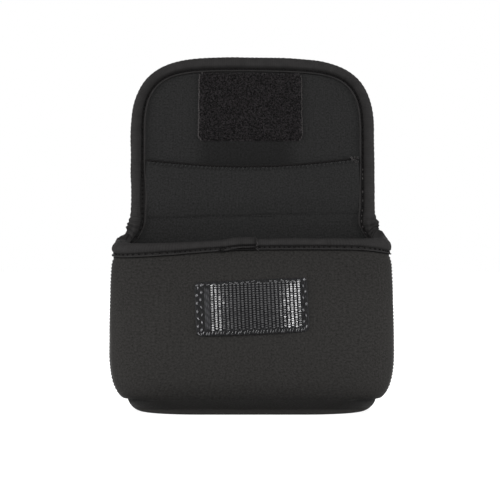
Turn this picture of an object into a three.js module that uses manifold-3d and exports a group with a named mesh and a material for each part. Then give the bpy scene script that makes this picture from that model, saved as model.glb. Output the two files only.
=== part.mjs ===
// A soft neoprene lens pouch that stands on its base with its flap open.
// Millimetres, +Z up. The origin is on the floor under the side seams, and the front faces -Y.
import * as THREE from "three";
import { mergeVertices } from "three/addons/utils/BufferGeometryUtils.js";
import Module from "manifold-3d";

const wasm = await Module();
wasm.setup();

// Sheet stock and clearances
const WALL = 3.5; // neoprene laminate
const GAP = 0.3; // between pieces that lie against each other
const THREAD_RADIUS = 0.35;

// Pouch body
const BODY_WIDTH = 130; // widest, at the belly
const MOUTH_WIDTH = 124.4;
const BELLY_HEIGHT = 27; // where the body is widest
const BELLY_FRONT = 21; // side seam to the front face at the belly
const MOUTH_FRONT = 12; // side seam to the front face at the mouth
const MOUTH_BACK = 15; // and to the back face where the flap starts
const FLOOR_BACK = 19.3; // side seam to the back face just above the base
const MOUTH_HEIGHT = 74.7; // raw edge of the neoprene at the sides
const FRONT_CROWN = 2.3; // rise of the front edge at its middle
const CORNER_FRONT = 10; // the front curves back at its sides by this much
const CORNER_REACH = 28; // over this width
const CORNER_BACK = 6.2; // rounding of the back's upright corners
const SIDE_TUCK = 10; // how far the sides curl in towards the floor
const FRONT_ROLL = 12; // how far the front rolls under the base

// Base, one piece with the front
const SEAM_HEIGHT = 6.6; // where the sides and back are sewn to the base
const BASE_WIDTH = 113.4; // at the seam
const BASE_SIDE_ROLL = 10.2; // rounding of the base towards the floor
const BASE_BACK_STEP = 1; // the base is this much inside the back wall
const BASE_BACK_ROLL = 4;

// Flap, one sheet with the back, and the two lines that it folds on
const CREASE_HEIGHT = 89.6; // first fold, above the back wall
const FLAP_LEAN = THREE.MathUtils.degToRad(15); // tilt of the open flap
const FLAP_LENGTH = 80; // first fold to the tip, binding included
const FLAP_ROOT_WIDTH = 114.6; // at the first fold, binding included
const FLAP_WIDTH = 116.6; // at the shoulder
const SHOULDER = 43; // where the tip starts to round
const TIP_POWER = 3.2; // squareness of the rounded tip
const CLOSED_SLOPE = THREE.MathUtils.degToRad(17); // fall of the closed flap over the mouth
const CREASE_HALF = 5; // half of the stretch that bends at the first fold
const FOLD_HALF = 3.2; // and at the second
const FLARE_SHARE = 0.8; // share of the way from the flap's side to the seam that its edge curves over

// Edge binding
const TAPE_SKIN = 1; // binding tape, folded
const FLAP_BINDING = 8; // width that shows on the flap
const MOUTH_BINDING = 6.8;
const STITCH_INSET = 2.2; // stitch line to the inner edge of the binding
const ROLL_PUFF = 0.45; // how far the roll swells beyond the flat of the tape
const LAP_LENGTH = 15.8; // where the end of the tape is lapped over its start
const LAP_END = 2.3; // right end of the lap from the middle
const LAP_SKIN = 0.5;

// Pocket inside the flap
const POCKET_SKIN = 1.5;
const POCKET_HEIGHT = 26.4; // at its sides, above the first fold
const POCKET_DIP = 4; // its hem is lower by this much in the middle
const HEM_INSET = 1.4; // stitch line to the hem

// Hook and loop closure, both cut from tape of one width
const TAPE_WIDTH = 50;
const TAPE_BACKING = 0.6;
const HOOK_LENGTH = 24;
const HOOK_HEIGHT = 48.2; // middle of the hook tape above the floor
const HOOK_TILT = THREE.MathUtils.degToRad(2.5);
const HOOK_REACH = 1.2;
const HOOK_ROWS = 25;
const HOOK_ROW_WIDTH = 0.7;
const SELVEDGE = 4.5; // bare strip along the woven edges
const HOOK_END_MARGIN = 3; // bare strip at the cut ends
const PILE_REACH = 1.2;
const PILE_MARGIN = 1.6; // bare strip round the pile, where it is sewn
const LOOP_SHIFT = -1; // the loop tape is a little left of the middle
const TAPE_CORNER = 1.6;
const STITCH_MARGIN = 1.5; // stitch line to the edge of a tape
const CLOSING_GAP = 1; // hooks to pile when the flap is shut

// Belt loop on the back
const BELT_LOOP_WIDTH = 38;
const BELT_LOOP_SKIN = 1.5;
const BELT_LOOP_LENGTH = 58;
const BELT_LOOP_TAB = 9;
const BELT_LOOP_RAMP = 6;
const BELT_LOOP_ROOM = 6; // thickness of belt that it takes
const BELT_LOOP_HEIGHT = 43; // its middle above the floor

const lerp = THREE.MathUtils.lerp;
const clamp01 = (t) => THREE.MathUtils.clamp(t, 0, 1);
const v2 = (x, y) => new THREE.Vector2(x, y);
const v3 = (x, y, z) => new THREE.Vector3(x, y, z);
const steps = (count, from, to) =>
  Array.from({ length: count + 1 }, (_, i) => lerp(from, to, i / count));

// Materials
const fabric = (color, roughness) =>
  new THREE.MeshStandardMaterial({ color, roughness, metalness: 0 });
const NEOPRENE = fabric(0x323131, 0.9);
const LINING = fabric(0x2c2b2b, 0.92);
const BINDING = fabric(0x353333, 0.8);
const HOOK_NYLON = fabric(0x2b2b2d, 0.35);
const LOOP_PILE = fabric(0x1f1d1e, 1);
const THREAD = fabric(0x1c1b1b, 0.6);
const WEBBING = fabric(0x262626, 0.75);

// Solids and geometry

function geometryFrom(points, triangles) {
  const position = new Float32Array(points.flatMap((p) => [p.x, p.y, p.z]));
  const geometry = new THREE.BufferGeometry();
  geometry.setAttribute("position", new THREE.BufferAttribute(position, 3));
  let volume = 0;
  for (let i = 0; i < triangles.length; i += 3) {
    const [a, b, c] = [0, 1, 2].map((k) => points[triangles[i + k]]);
    volume += a.dot(b.clone().cross(c));
  }
  geometry.setIndex(volume < 0 ? triangles.reverse() : triangles);
  return geometry;
}

function solidFrom(geometry) {
  const bare = geometry.clone();
  bare.deleteAttribute("normal");
  bare.deleteAttribute("uv");
  const merged = mergeVertices(bare, 1e-4);
  return new wasm.Manifold(
    new wasm.Mesh({
      numProp: 3,
      vertProperties: merged.attributes.position.array,
      triVerts: new Uint32Array(merged.index.array),
    }),
  );
}

function geometryOf(solid) {
  const mesh = solid.getMesh();
  const geometry = new THREE.BufferGeometry();
  geometry.setAttribute("position", new THREE.BufferAttribute(mesh.vertProperties, 3));
  geometry.setIndex(new THREE.BufferAttribute(mesh.triVerts, 1));
  return geometry;
}

// A closed sheet with thickness: a face and a back over the same grid, joined round their rim.
function thickSheet(us, vs, face, back) {
  const points = [face, back].flatMap((side) => vs.flatMap((v) => us.map((u) => side(u, v))));
  const columns = us.length;
  const rows = vs.length;
  const at = (side, i, j) => (side * rows + j) * columns + i;
  const triangles = [];
  const quad = (a, b, c, d) => triangles.push(a, b, c, a, c, d);
  for (let j = 0; j < rows - 1; j++) {
    for (let i = 0; i < columns - 1; i++) {
      quad(at(0, i, j), at(0, i + 1, j), at(0, i + 1, j + 1), at(0, i, j + 1));
      quad(at(1, i, j + 1), at(1, i + 1, j + 1), at(1, i + 1, j), at(1, i, j));
    }
    quad(at(0, 0, j), at(0, 0, j + 1), at(1, 0, j + 1), at(1, 0, j));
    const last = columns - 1;
    quad(at(1, last, j), at(1, last, j + 1), at(0, last, j + 1), at(0, last, j));
  }
  for (let i = 0; i < columns - 1; i++) {
    quad(at(1, i, 0), at(1, i + 1, 0), at(0, i + 1, 0), at(0, i, 0));
    const top = rows - 1;
    quad(at(0, i, top), at(0, i + 1, top), at(1, i + 1, top), at(1, i, top));
  }
  return geometryFrom(points, triangles);
}

// A section carried along frames. A section point is (out from the edge, along the sheet's normal),
// and a frame turns such a pair into a point in space.
function sweep(section, frames) {
  const contour = THREE.ShapeUtils.isClockWise(section) ? [...section].reverse() : section;
  const points = frames.flatMap((frame) => contour.map((p) => frame(p.x, p.y)));
  const count = contour.length;
  const triangles = [];
  for (let k = 0; k < frames.length - 1; k++) {
    for (let i = 0; i < count; i++) {
      const a = k * count + i;
      const b = k * count + ((i + 1) % count);
      triangles.push(a, b, b + count, a, b + count, a + count);
    }
  }
  const end = (frames.length - 1) * count;
  for (const [a, b, c] of THREE.ShapeUtils.triangulateShape(contour, [])) {
    triangles.push(c, b, a, end + a, end + b, end + c);
  }
  return geometryFrom(points, triangles);
}

// A solid through level loops of equal count, with flat ends.
function loft(loops) {
  const count = loops[0].length;
  const points = loops.flat();
  const triangles = [];
  for (let k = 0; k < loops.length - 1; k++) {
    for (let i = 0; i < count; i++) {
      const a = k * count + i;
      const b = k * count + ((i + 1) % count);
      triangles.push(a, b, b + count, a, b + count, a + count);
    }
  }
  const end = (loops.length - 1) * count;
  for (let i = 1; i < count - 1; i++) {
    triangles.push(0, i + 1, i, end, end + i, end + i + 1);
  }
  return geometryFrom(points, triangles);
}

// A flat outline with thickness, standing in the XZ plane, from y = near to y = far.
function plate(outline, near, far) {
  const shape = outline instanceof THREE.Shape ? outline : new THREE.Shape(outline);
  const geometry = new THREE.ExtrudeGeometry(shape, { depth: far - near, bevelEnabled: false });
  return geometry.rotateX(Math.PI / 2).translate(0, far, 0);
}

function box(x0, x1, near, far, z0, z1) {
  return plate([v2(x0, z0), v2(x1, z0), v2(x1, z1), v2(x0, z1)], near, far);
}

function roundedRectangle(x0, x1, z0, z1, radius) {
  const shape = new THREE.Shape();
  shape.moveTo(x0 + radius, z0).lineTo(x1 - radius, z0);
  shape.absarc(x1 - radius, z0 + radius, radius, -Math.PI / 2, 0);
  shape.absarc(x1 - radius, z1 - radius, radius, 0, Math.PI / 2);
  shape.absarc(x0 + radius, z1 - radius, radius, Math.PI / 2, Math.PI);
  shape.absarc(x0 + radius, z0 + radius, radius, Math.PI, 1.5 * Math.PI);
  const corners = shape.getPoints(3);
  return new THREE.Shape(corners);
}

// A round thread's section, beside the path that it follows.
function threadSection(out, side) {
  const sides = 5;
  return Array.from({ length: sides }, (_, i) => {
    const turn = (2 * Math.PI * i) / sides;
    return v2(out + THREAD_RADIUS * Math.cos(turn), side + THREAD_RADIUS * Math.sin(turn));
  });
}

const planeFrame = (point, out, side) => (o, n) =>
  point.clone().addScaledVector(out, o).addScaledVector(side, n);

// Frames along a path: out is square to the path and to the normal.
function framesAlong(path, normal) {
  return path.map((point, i) => {
    const before = path[Math.max(i - 1, 0)];
    const after = path[Math.min(i + 1, path.length - 1)];
    const along = after.clone().sub(before).normalize();
    const out = normal.clone().cross(along).normalize();
    return planeFrame(point, out, along.clone().cross(out));
  });
}

// Quarter of a superellipse from (1, 0) to (0, 1), evenly spread.
function quarterCurve(power, count) {
  const middle = 0.5 ** (1 / power);
  const other = (t) => (1 - t ** power) ** (1 / power);
  const rising = steps(count, 0, middle).map((y) => v2(other(y), y));
  const closing = steps(count, middle, 0).map((x) => v2(x, other(x)));
  return [...rising, ...closing.slice(1)];
}

// Body: its level section at any height, and places around it

const tuckRadius = BELLY_HEIGHT - SEAM_HEIGHT / 2;
const rollIn = (depth, radius) => 1 - Math.sqrt(1 - clamp01(depth / radius) ** 2);
const rise = (z) => Math.max((z - BELLY_HEIGHT) / (MOUTH_HEIGHT - BELLY_HEIGHT), 0);
const backTop = CREASE_HEIGHT - CREASE_HALF;
const backRise = (z) => (z - SEAM_HEIGHT) / (backTop - SEAM_HEIGHT);

function wallSection(z) {
  const below = Math.max(BELLY_HEIGHT - z, 0);
  return {
    half: lerp(BODY_WIDTH, MOUTH_WIDTH, rise(z)) / 2 - SIDE_TUCK * rollIn(below, tuckRadius),
    front: lerp(BELLY_FRONT, MOUTH_FRONT, rise(z)) - FRONT_ROLL * rollIn(below, BELLY_HEIGHT),
    back: lerp(FLOOR_BACK, MOUTH_BACK, backRise(z)),
  };
}

function baseSection(z) {
  const below = Math.max(SEAM_HEIGHT - z, 0);
  return {
    half: BASE_WIDTH / 2 - BASE_SIDE_ROLL * rollIn(below, SEAM_HEIGHT),
    front: wallSection(z).front,
    back: FLOOR_BACK - BASE_BACK_STEP - BASE_BACK_ROLL * rollIn(below, SEAM_HEIGHT),
  };
}

// Half a level section from the middle of the back to the middle of the front, as stretches that each
// run from 0 to 1: flat back, back corner, side behind the seam, side before it, front corner, flat front.
const quarter = Math.PI / 2;
const STRETCHES = [
  ({ half, back }, t, inset) => v2(t * (half - CORNER_BACK), back - inset),
  ({ half, back }, t, inset) =>
    v2(
      half - CORNER_BACK + (CORNER_BACK - inset) * Math.sin(t * quarter),
      back - CORNER_BACK + (CORNER_BACK - inset) * Math.cos(t * quarter),
    ),
  ({ half, back }, t, inset) => v2(half - inset, (back - CORNER_BACK) * (1 - t)),
  ({ half, front }, t, inset) => v2(half - inset, -(front - frontCorner(front)) * t),
  ({ half, front }, t, inset) =>
    v2(
      half - CORNER_REACH + (CORNER_REACH - inset) * Math.cos(t * quarter),
      frontCorner(front) - front - (frontCorner(front) - inset) * Math.sin(t * quarter),
    ),
  ({ half, front }, t, inset) => v2((1 - t) * (half - CORNER_REACH), inset - front),
];
const frontCorner = (front) => Math.min(CORNER_FRONT, 0.9 * front);

function sectionPoint(section, place, inset, z) {
  const { x, y } = STRETCHES[place.stretch](section, place.share, inset);
  return v3(place.hand * x, y, z);
}

// Distances round the middle of the wall at the mouth, from the middle of the back to each stretch's end.
const mouthSection = wallSection(MOUTH_HEIGHT);
const stretchEnds = [0];
for (const stretch of STRETCHES) {
  const line = steps(32, 0, 1).map((t) => stretch(mouthSection, t, WALL / 2));
  const length = line.slice(1).reduce((sum, p, i) => sum + p.distanceTo(line[i]), 0);
  stretchEnds.push(stretchEnds[stretchEnds.length - 1] + length);
}
const [, flatEnd, cornerEnd, seamDistance, sideEnd, roundEnd, frontDistance] = stretchEnds;

// The place at a distance from the middle of the back, on the left where the distance is negative.
function placeAt(distance) {
  const reach = Math.min(Math.abs(distance), frontDistance);
  const stretch = Math.min(
    stretchEnds.findLastIndex((end) => end <= reach),
    STRETCHES.length - 1,
  );
  const length = stretchEnds[stretch + 1] - stretchEnds[stretch];
  return { stretch, share: (reach - stretchEnds[stretch]) / length, hand: Math.sign(distance) };
}

const wallPoint = (distance, z, inset) =>
  sectionPoint(wallSection(z), placeAt(distance), inset, z);

// Flap: its own frame has X across, Y towards its back and Z away from the first fold

const bindingCover = TAPE_SKIN + GAP; // neoprene edge to the outside of the binding
const creaseY = MOUTH_BACK - WALL / 2;
const frontSlope = Math.atan2(BELLY_FRONT - MOUTH_FRONT, MOUTH_HEIGHT - BELLY_HEIGHT);
const hookStack = GAP + TAPE_BACKING + HOOK_REACH;
const loopStack = GAP + TAPE_BACKING + PILE_REACH;

// The second fold is where the closed flap can hang parallel to the front, hooks in pile.
const hangOffset = (WALL / 2 + loopStack + CLOSING_GAP + hookStack) / Math.cos(frontSlope);
const FOLD_SPAN =
  (creaseY + MOUTH_FRONT + hangOffset + (MOUTH_HEIGHT - CREASE_HEIGHT) * Math.tan(frontSlope)) /
  (Math.cos(CLOSED_SLOPE) - Math.sin(CLOSED_SLOPE) * Math.tan(frontSlope));

function flapHalfWidth(s) {
  return lerp(FLAP_ROOT_WIDTH, FLAP_WIDTH, clamp01(s / SHOULDER)) / 2;
}

// The neoprene's right edge between two distances from the first fold, up to the middle of the tip.
function flapEdge(from, to) {
  const straightEnd = Math.min(to, SHOULDER);
  const straightSteps = Math.max(1, Math.round((straightEnd - from) / 8));
  const edge = steps(straightSteps, from, straightEnd).map((s) => v2(flapHalfWidth(s) - bindingCover, s));
  if (to > SHOULDER) {
    const across = FLAP_WIDTH / 2 - bindingCover;
    const reach = FLAP_LENGTH - bindingCover - SHOULDER;
    const round = quarterCurve(TIP_POWER, 9);
    edge.push(...round.slice(1).map((p) => v2(across * p.x, SHOULDER + reach * p.y)));
  }
  return edge;
}

const mirrored = (edge) => edge.map((p) => v2(-p.x, p.y)).reverse();

// Both sides of the flap between two distances, anticlockwise.
function flapOutline(from, to) {
  const right = flapEdge(from, to);
  const left = mirrored(right);
  return to > SHOULDER ? [...right, ...left.slice(1)] : [...right, ...left];
}

const BACKWARD = v3(0, 1, 0);
const UPWARD = v3(0, 0, 1);

const flapFrames = (edge) =>
  framesAlong(
    edge.map((p) => v3(p.x, 0, p.y)),
    BACKWARD,
  );

// Edge binding: a folded tape that grips the neoprene, rolled at the edge and stitched flat inside

const slotHalf = WALL / 2 + GAP;
const tapeHalf = slotHalf + TAPE_SKIN;
const grooveHalf = slotHalf + TAPE_SKIN / 2;

const flip = (list) => list.map((p) => v2(p.x, -p.y));

// A folded section from the upper half of its outside and of its slot.
function folded(outside, slot) {
  return [...outside, ...flip(outside).reverse(), ...flip(slot), ...slot.toReversed()];
}

function bindingSection(width) {
  const inner = bindingCover - width;
  const stitch = inner + STITCH_INSET;
  const outside = [
    v2(inner, tapeHalf),
    v2(stitch, grooveHalf),
    v2(lerp(stitch, 0, 0.35), tapeHalf + ROLL_PUFF),
    v2(-TAPE_SKIN / 2, tapeHalf),
    v2(bindingCover, slotHalf / 2),
  ];
  return folded(outside, steps(4, inner, GAP).map((o) => v2(o, slotHalf)));
}

// The end of the tape, lapped over the binding beneath it and its thread.
function lapSection(width) {
  const inner = bindingCover - width + GAP;
  const half = tapeHalf + ROLL_PUFF + GAP;
  const crest = bindingCover + GAP;
  const around = (skin) => [
    v2(inner, half + skin),
    v2(0, half + skin),
    v2(crest + skin, half / 2),
  ];
  return folded(around(LAP_SKIN), around(0));
}

function bindingThread(width, face, frames) {
  const stitch = bindingCover - width + STITCH_INSET;
  return sweep(threadSection(stitch, face * (grooveHalf + GAP + THREAD_RADIUS)), frames);
}

// The mouth's edge, from the left end of the first fold round the front to the right end

const flapDistance = flapHalfWidth(0) - bindingCover;
const flareRun = FLARE_SHARE * (seamDistance - flapDistance);
const sideStart = flapDistance + flareRun;

function edgeHeight(distance) {
  const reach = Math.abs(distance);
  if (reach <= flapDistance) return backTop;
  if (reach < sideStart) {
    const run = 1 - (reach - flapDistance) / flareRun;
    return backTop - (backTop - MOUTH_HEIGHT) * Math.sqrt(1 - run * run);
  }
  const forward = clamp01((reach - seamDistance) / (frontDistance - seamDistance));
  return MOUTH_HEIGHT + FRONT_CROWN * THREE.MathUtils.smoothstep(forward, 0, 1);
}

const flareTurns = steps(12, 0, quarter);
const flarePlaces = flareTurns.map((turn) => flapDistance + flareRun * (1 - Math.cos(turn)));

// Round the mouth, places are told by how far they are right of the middle of the front.
const fromFront = (d) => Math.sign(d || 1) * (frontDistance - Math.abs(d));
const mouthEdge = (d) => v2(d, edgeHeight(fromFront(d)));

// Frames along the mouth's edge that follow the wall's own curve.
function mouthFrames(places) {
  const path = places.map(mouthEdge);
  return path.map((point, i) => {
    const before = path[Math.max(i - 1, 0)];
    const after = path[Math.min(i + 1, path.length - 1)];
    const along = after.clone().sub(before).normalize();
    return (o, n) => {
      const d = point.x - o * along.y;
      const z = point.y + o * along.x;
      return wallPoint(fromFront(d), z, WALL / 2 - n);
    };
  });
}

function mouthPlaces() {
  const front = [...steps(5, frontDistance, roundEnd), ...steps(10, roundEnd, sideEnd).slice(1)];
  const side = steps(3, sideEnd, sideStart).slice(1, -1);
  const right = [...front, ...side, ...flarePlaces.slice().reverse()].map((d) => frontDistance - d);
  const left = right.slice(1).map((d) => -d).reverse();
  return [...left, ...right];
}

const mouthRun = mouthFrames(mouthPlaces());

// Pieces of the pouch body

const wallRows = [0, 0.05, 0.1, 0.17, 0.26, 0.4, 0.7, 1];

function wallSheet(places, bottom) {
  const height = (d, v) => lerp(bottom, edgeHeight(d), v);
  return thickSheet(
    places,
    wallRows,
    (d, v) => wallPoint(d, height(d, v), 0),
    (d, v) => wallPoint(d, height(d, v), WALL),
  );
}

// A full loop of a level section, inset into the wall.
const LOOP_COUNTS = [2, 5, 1, 1, 10, 2];

function sectionLoop(section, inset, z) {
  const right = LOOP_COUNTS.flatMap((count, stretch) =>
    steps(count, 0, 1)
      .slice(0, -1)
      .map((share) => ({ stretch, share, hand: 1 })),
  );
  right.push({ stretch: STRETCHES.length - 1, share: 1, hand: 1 });
  const left = right.slice(1, -1).reverse().map((place) => ({ ...place, hand: -1 }));
  return [...right, ...left].map((place) => sectionPoint(section, place, inset, z));
}

function baseTray() {
  const levels = steps(5, 0, Math.PI / 2).map((turn) => SEAM_HEIGHT * (1 - Math.cos(turn)));
  const outer = loft(levels.map((z) => sectionLoop(baseSection(z), 0, z)));
  const inside = [WALL, SEAM_HEIGHT + GAP].map((z) => sectionLoop(baseSection(z), WALL, z));
  return solidFrom(outer).subtract(solidFrom(loft(inside)));
}

// Front wall and base are one piece: the front rolls under and becomes the floor of the pouch.
function frontPanel() {
  const bite = WALL / 4;
  const flat = steps(3, frontDistance, roundEnd);
  const round = steps(10, roundEnd, sideEnd).slice(1);
  const right = [...flat, ...round, seamDistance + GAP / 2];
  const left = right.slice(1).map((d) => -d).reverse();
  const wall = wallSheet([...left, ...right], SEAM_HEIGHT - bite);
  return geometryOf(solidFrom(wall).add(baseTray()));
}

function backPanel() {
  const flat = steps(3, 0, flapDistance);
  const side = steps(2, sideStart, seamDistance - GAP / 2);
  const right = [...flat, ...flarePlaces.slice(1), ...side.slice(1)];
  const left = right.slice(1).map((d) => -d).reverse();
  return wallSheet([...left, ...right], SEAM_HEIGHT + GAP);
}

// A thread down the outside of a side seam.
function sideSeamThread(hand) {
  const top = MOUTH_HEIGHT - MOUTH_BINDING;
  const path = steps(16, SEAM_HEIGHT + GAP, top).map((z) => {
    const { half } = wallSection(z);
    return v3(hand * (half + GAP + THREAD_RADIUS), 0, z);
  });
  return sweep(threadSection(0, 0), framesAlong(path, BACKWARD));
}

// A thread under the step where the sides and back are sewn to the base.
function baseSeamThread() {
  const z = SEAM_HEIGHT - WALL / 4 - GAP - THREAD_RADIUS;
  const corner = steps(6, cornerEnd, flatEnd).slice(0, -1);
  const right = [seamDistance, ...corner, flatEnd];
  const places = [...right, ...right.map((d) => -d).reverse()].map(placeAt);
  const section = baseSection(z);
  const path = places.map((place) => sectionPoint(section, place, -GAP - THREAD_RADIUS, z));
  return sweep(threadSection(0, 0), framesAlong(path, UPWARD));
}

function bindingLap() {
  const frames = mouthFrames(steps(4, LAP_END - LAP_LENGTH, LAP_END));
  return sweep(lapSection(MOUTH_BINDING), frames);
}

// Pieces of the flap

// The stretch that bends at the first fold: upright below, leaning with the flap above.
function creaseProfile(across) {
  const lean = (n, s) =>
    v2(n * Math.cos(FLAP_LEAN) + s * Math.sin(FLAP_LEAN), s * Math.cos(FLAP_LEAN) - n * Math.sin(FLAP_LEAN));
  const bend = (n) => v2(n, -n * Math.tan(FLAP_LEAN / 2));
  const reach = CREASE_HALF - GAP;
  return [v2(across, -reach), bend(across), lean(across, reach)];
}

function creaseStrip() {
  const inner = creaseProfile(-WALL / 2);
  const outer = creaseProfile(WALL / 2).reverse();
  const half = flapDistance;
  const shape = new THREE.Shape([...outer, ...inner]);
  const strip = new THREE.ExtrudeGeometry(shape, { depth: 2 * half, bevelEnabled: false });
  const toWorld = new THREE.Matrix4().makeBasis(v3(0, 1, 0), v3(0, 0, 1), v3(1, 0, 0));
  return strip.applyMatrix4(toWorld).translate(-half, creaseY, CREASE_HEIGHT);
}

function creaseBinding(hand) {
  const across = v3(0, Math.cos(FLAP_LEAN / 2), -Math.sin(FLAP_LEAN / 2));
  const sides = [v3(0, 1, 0), across, v3(0, Math.cos(FLAP_LEAN), -Math.sin(FLAP_LEAN))];
  const frames = creaseProfile(0).map((p, i) =>
    planeFrame(v3(hand * flapDistance, creaseY + p.x, CREASE_HEIGHT + p.y), v3(hand, 0, 0), sides[i]),
  );
  return sweep(bindingSection(FLAP_BINDING), frames);
}

const flapPanel = (from, to) => plate(flapOutline(from, to), -WALL / 2, WALL / 2);

function flapBinding(edge) {
  return sweep(bindingSection(FLAP_BINDING), flapFrames(edge));
}

const coverFrom = CREASE_HALF;
const coverTo = FOLD_SPAN - FOLD_HALF;
const tipFrom = FOLD_SPAN + FOLD_HALF;
const faceY = -WALL / 2 - GAP; // what is sewn to the inside of the flap starts here
const bindingInner = FLAP_BINDING - bindingCover + GAP; // neoprene edge to what the binding frames

function pocketHem(x) {
  const half = flapHalfWidth(POCKET_HEIGHT);
  return POCKET_HEIGHT - POCKET_DIP * (1 - clamp01(Math.abs(x) / half) ** 2);
}

const pocketFoot = coverFrom + GAP + TAPE_SKIN;
const pocketHalf = flapHalfWidth(0) - bindingCover - bindingInner;

function pocketSheet() {
  const across = steps(20, -pocketHalf, pocketHalf);
  const point = (y) => (x, v) => v3(x, y, lerp(pocketFoot, pocketHem(x), v));
  return thickSheet(across, [0, 1], point(faceY - POCKET_SKIN), point(faceY));
}

const pocketThreadY = faceY - POCKET_SKIN - GAP - THREAD_RADIUS;

function pocketThread(heightAt) {
  const across = steps(20, -pocketHalf + GAP, pocketHalf - GAP);
  const path = across.map((x) => v3(x, pocketThreadY, heightAt(x)));
  return sweep(threadSection(0, 0), framesAlong(path, BACKWARD));
}

// Loop tape: a woven backing with a brushed pile, cut square at the tip and rounded at the fold.
const loopFrom = tipFrom + GAP;
const loopTo = FLAP_LENGTH - FLAP_BINDING - 2 * GAP - TAPE_SKIN / 2;
const loopLeft = LOOP_SHIFT - TAPE_WIDTH / 2;
const loopRight = LOOP_SHIFT + TAPE_WIDTH / 2;

function loopTape() {
  const edge = roundedRectangle(loopLeft, loopRight, loopFrom, loopTo, TAPE_CORNER);
  const pile = roundedRectangle(
    loopLeft + PILE_MARGIN,
    loopRight - PILE_MARGIN,
    loopFrom + PILE_MARGIN,
    loopTo - PILE_MARGIN,
    TAPE_CORNER,
  );
  const backing = solidFrom(plate(edge, faceY - TAPE_BACKING, faceY));
  const brushed = plate(pile, faceY - TAPE_BACKING - PILE_REACH, faceY - TAPE_BACKING / 2);
  return geometryOf(backing.add(solidFrom(brushed)));
}

// A stitched box just inside a tape's edge, left open by one thread width.
function boxThread(x0, x1, z0, z1, y) {
  const path = [
    v3((x0 + x1) / 2, y, z0),
    v3(x1, y, z0),
    v3(x1, y, z1),
    v3(x0, y, z1),
    v3(x0, y, z0),
    v3((x0 + x1) / 2 - 3 * THREAD_RADIUS, y, z0),
  ];
  return sweep(threadSection(0, 0), framesAlong(path, BACKWARD));
}

function loopThread() {
  const inset = PILE_MARGIN - 2 * THREAD_RADIUS - GAP;
  const y = faceY - TAPE_BACKING - GAP - THREAD_RADIUS;
  return boxThread(loopLeft + inset, loopRight - inset, loopFrom + inset, loopTo - inset, y);
}

// Hook tape: a woven backing with rows of hooks between its bare edges.
function hookTape() {
  const half = TAPE_WIDTH / 2;
  const rise = HOOK_LENGTH / 2;
  const edge = roundedRectangle(-half, half, -rise, rise, TAPE_CORNER);
  const backing = plate(edge, -GAP - TAPE_BACKING, -GAP);
  const centres = steps(HOOK_ROWS - 1, -half + SELVEDGE, half - SELVEDGE);
  const rows = centres.map((x) =>
    solidFrom(
      box(
        x - HOOK_ROW_WIDTH / 2,
        x + HOOK_ROW_WIDTH / 2,
        -GAP - TAPE_BACKING - HOOK_REACH,
        -GAP - TAPE_BACKING / 2,
        HOOK_END_MARGIN - rise,
        rise - HOOK_END_MARGIN,
      ),
    ),
  );
  return geometryOf(rows.reduce((whole, row) => whole.add(row), solidFrom(backing)));
}

function hookThread() {
  const half = TAPE_WIDTH / 2 - STITCH_MARGIN;
  const rise = HOOK_LENGTH / 2 - STITCH_MARGIN;
  return boxThread(-half, half, -rise, rise, -2 * GAP - TAPE_BACKING - THREAD_RADIUS);
}

// Belt loop: a strip of webbing sewn down at both ends and bowed off the back between them.
function beltLoopSide(y) {
  const end = BELT_LOOP_LENGTH / 2;
  const tab = end - BELT_LOOP_TAB;
  const flat = tab - BELT_LOOP_RAMP;
  const out = y + BELT_LOOP_ROOM;
  return [v2(y, -end), v2(y, -tab), v2(out, -flat), v2(out, flat), v2(y, tab), v2(y, end)];
}

function beltLoop() {
  const inner = beltLoopSide(GAP);
  const outer = beltLoopSide(GAP + BELT_LOOP_SKIN).reverse();
  const shape = new THREE.Shape([...inner, ...outer]);
  const strip = new THREE.ExtrudeGeometry(shape, { depth: BELT_LOOP_WIDTH, bevelEnabled: false });
  const toWorld = new THREE.Matrix4().makeBasis(v3(0, 1, 0), v3(0, 0, 1), v3(1, 0, 0));
  return strip.applyMatrix4(toWorld).translate(-BELT_LOOP_WIDTH / 2, 0, 0);
}

function beltLoopThread(hand) {
  const half = BELT_LOOP_WIDTH / 2 - STITCH_MARGIN;
  const end = BELT_LOOP_LENGTH / 2 - STITCH_MARGIN;
  const tab = BELT_LOOP_LENGTH / 2 - BELT_LOOP_TAB + STITCH_MARGIN;
  const [low, high] = hand > 0 ? [tab, end] : [-end, -tab];
  return boxThread(-half, half, low, high, 2 * GAP + BELT_LOOP_SKIN + THREAD_RADIUS);
}

// Assembly

function add(group, name, geometry, material) {
  const mesh = new THREE.Mesh(geometry, material);
  mesh.name = name;
  group.add(mesh);
}

const HANDS = [
  ["left", -1],
  ["right", 1],
];

const pouch = new THREE.Group();
add(pouch, "front_panel", frontPanel(), NEOPRENE);
add(pouch, "back_panel", backPanel(), NEOPRENE);
add(pouch, "mouth_binding", sweep(bindingSection(MOUTH_BINDING), mouthRun), BINDING);
add(pouch, "mouth_binding_thread", bindingThread(MOUTH_BINDING, 1, mouthRun), THREAD);
add(pouch, "binding_lap", bindingLap(), BINDING);
add(pouch, "base_seam_thread", baseSeamThread(), THREAD);
for (const [side, hand] of HANDS) {
  add(pouch, `side_seam_thread_${side}`, sideSeamThread(hand), THREAD);
}

// The hook tape sits on the sloping front, turned a little in its plane.
const hookPlace = new THREE.Group();
hookPlace.position.set(0, -wallSection(HOOK_HEIGHT).front, HOOK_HEIGHT);
hookPlace.rotation.set(-frontSlope, 0, 0);
const hookTurn = new THREE.Group();
hookTurn.rotation.y = -HOOK_TILT;
add(hookTurn, "hook_tape", hookTape(), HOOK_NYLON);
add(hookTurn, "hook_tape_thread", hookThread(), THREAD);
hookPlace.add(hookTurn);
pouch.add(hookPlace);

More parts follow.
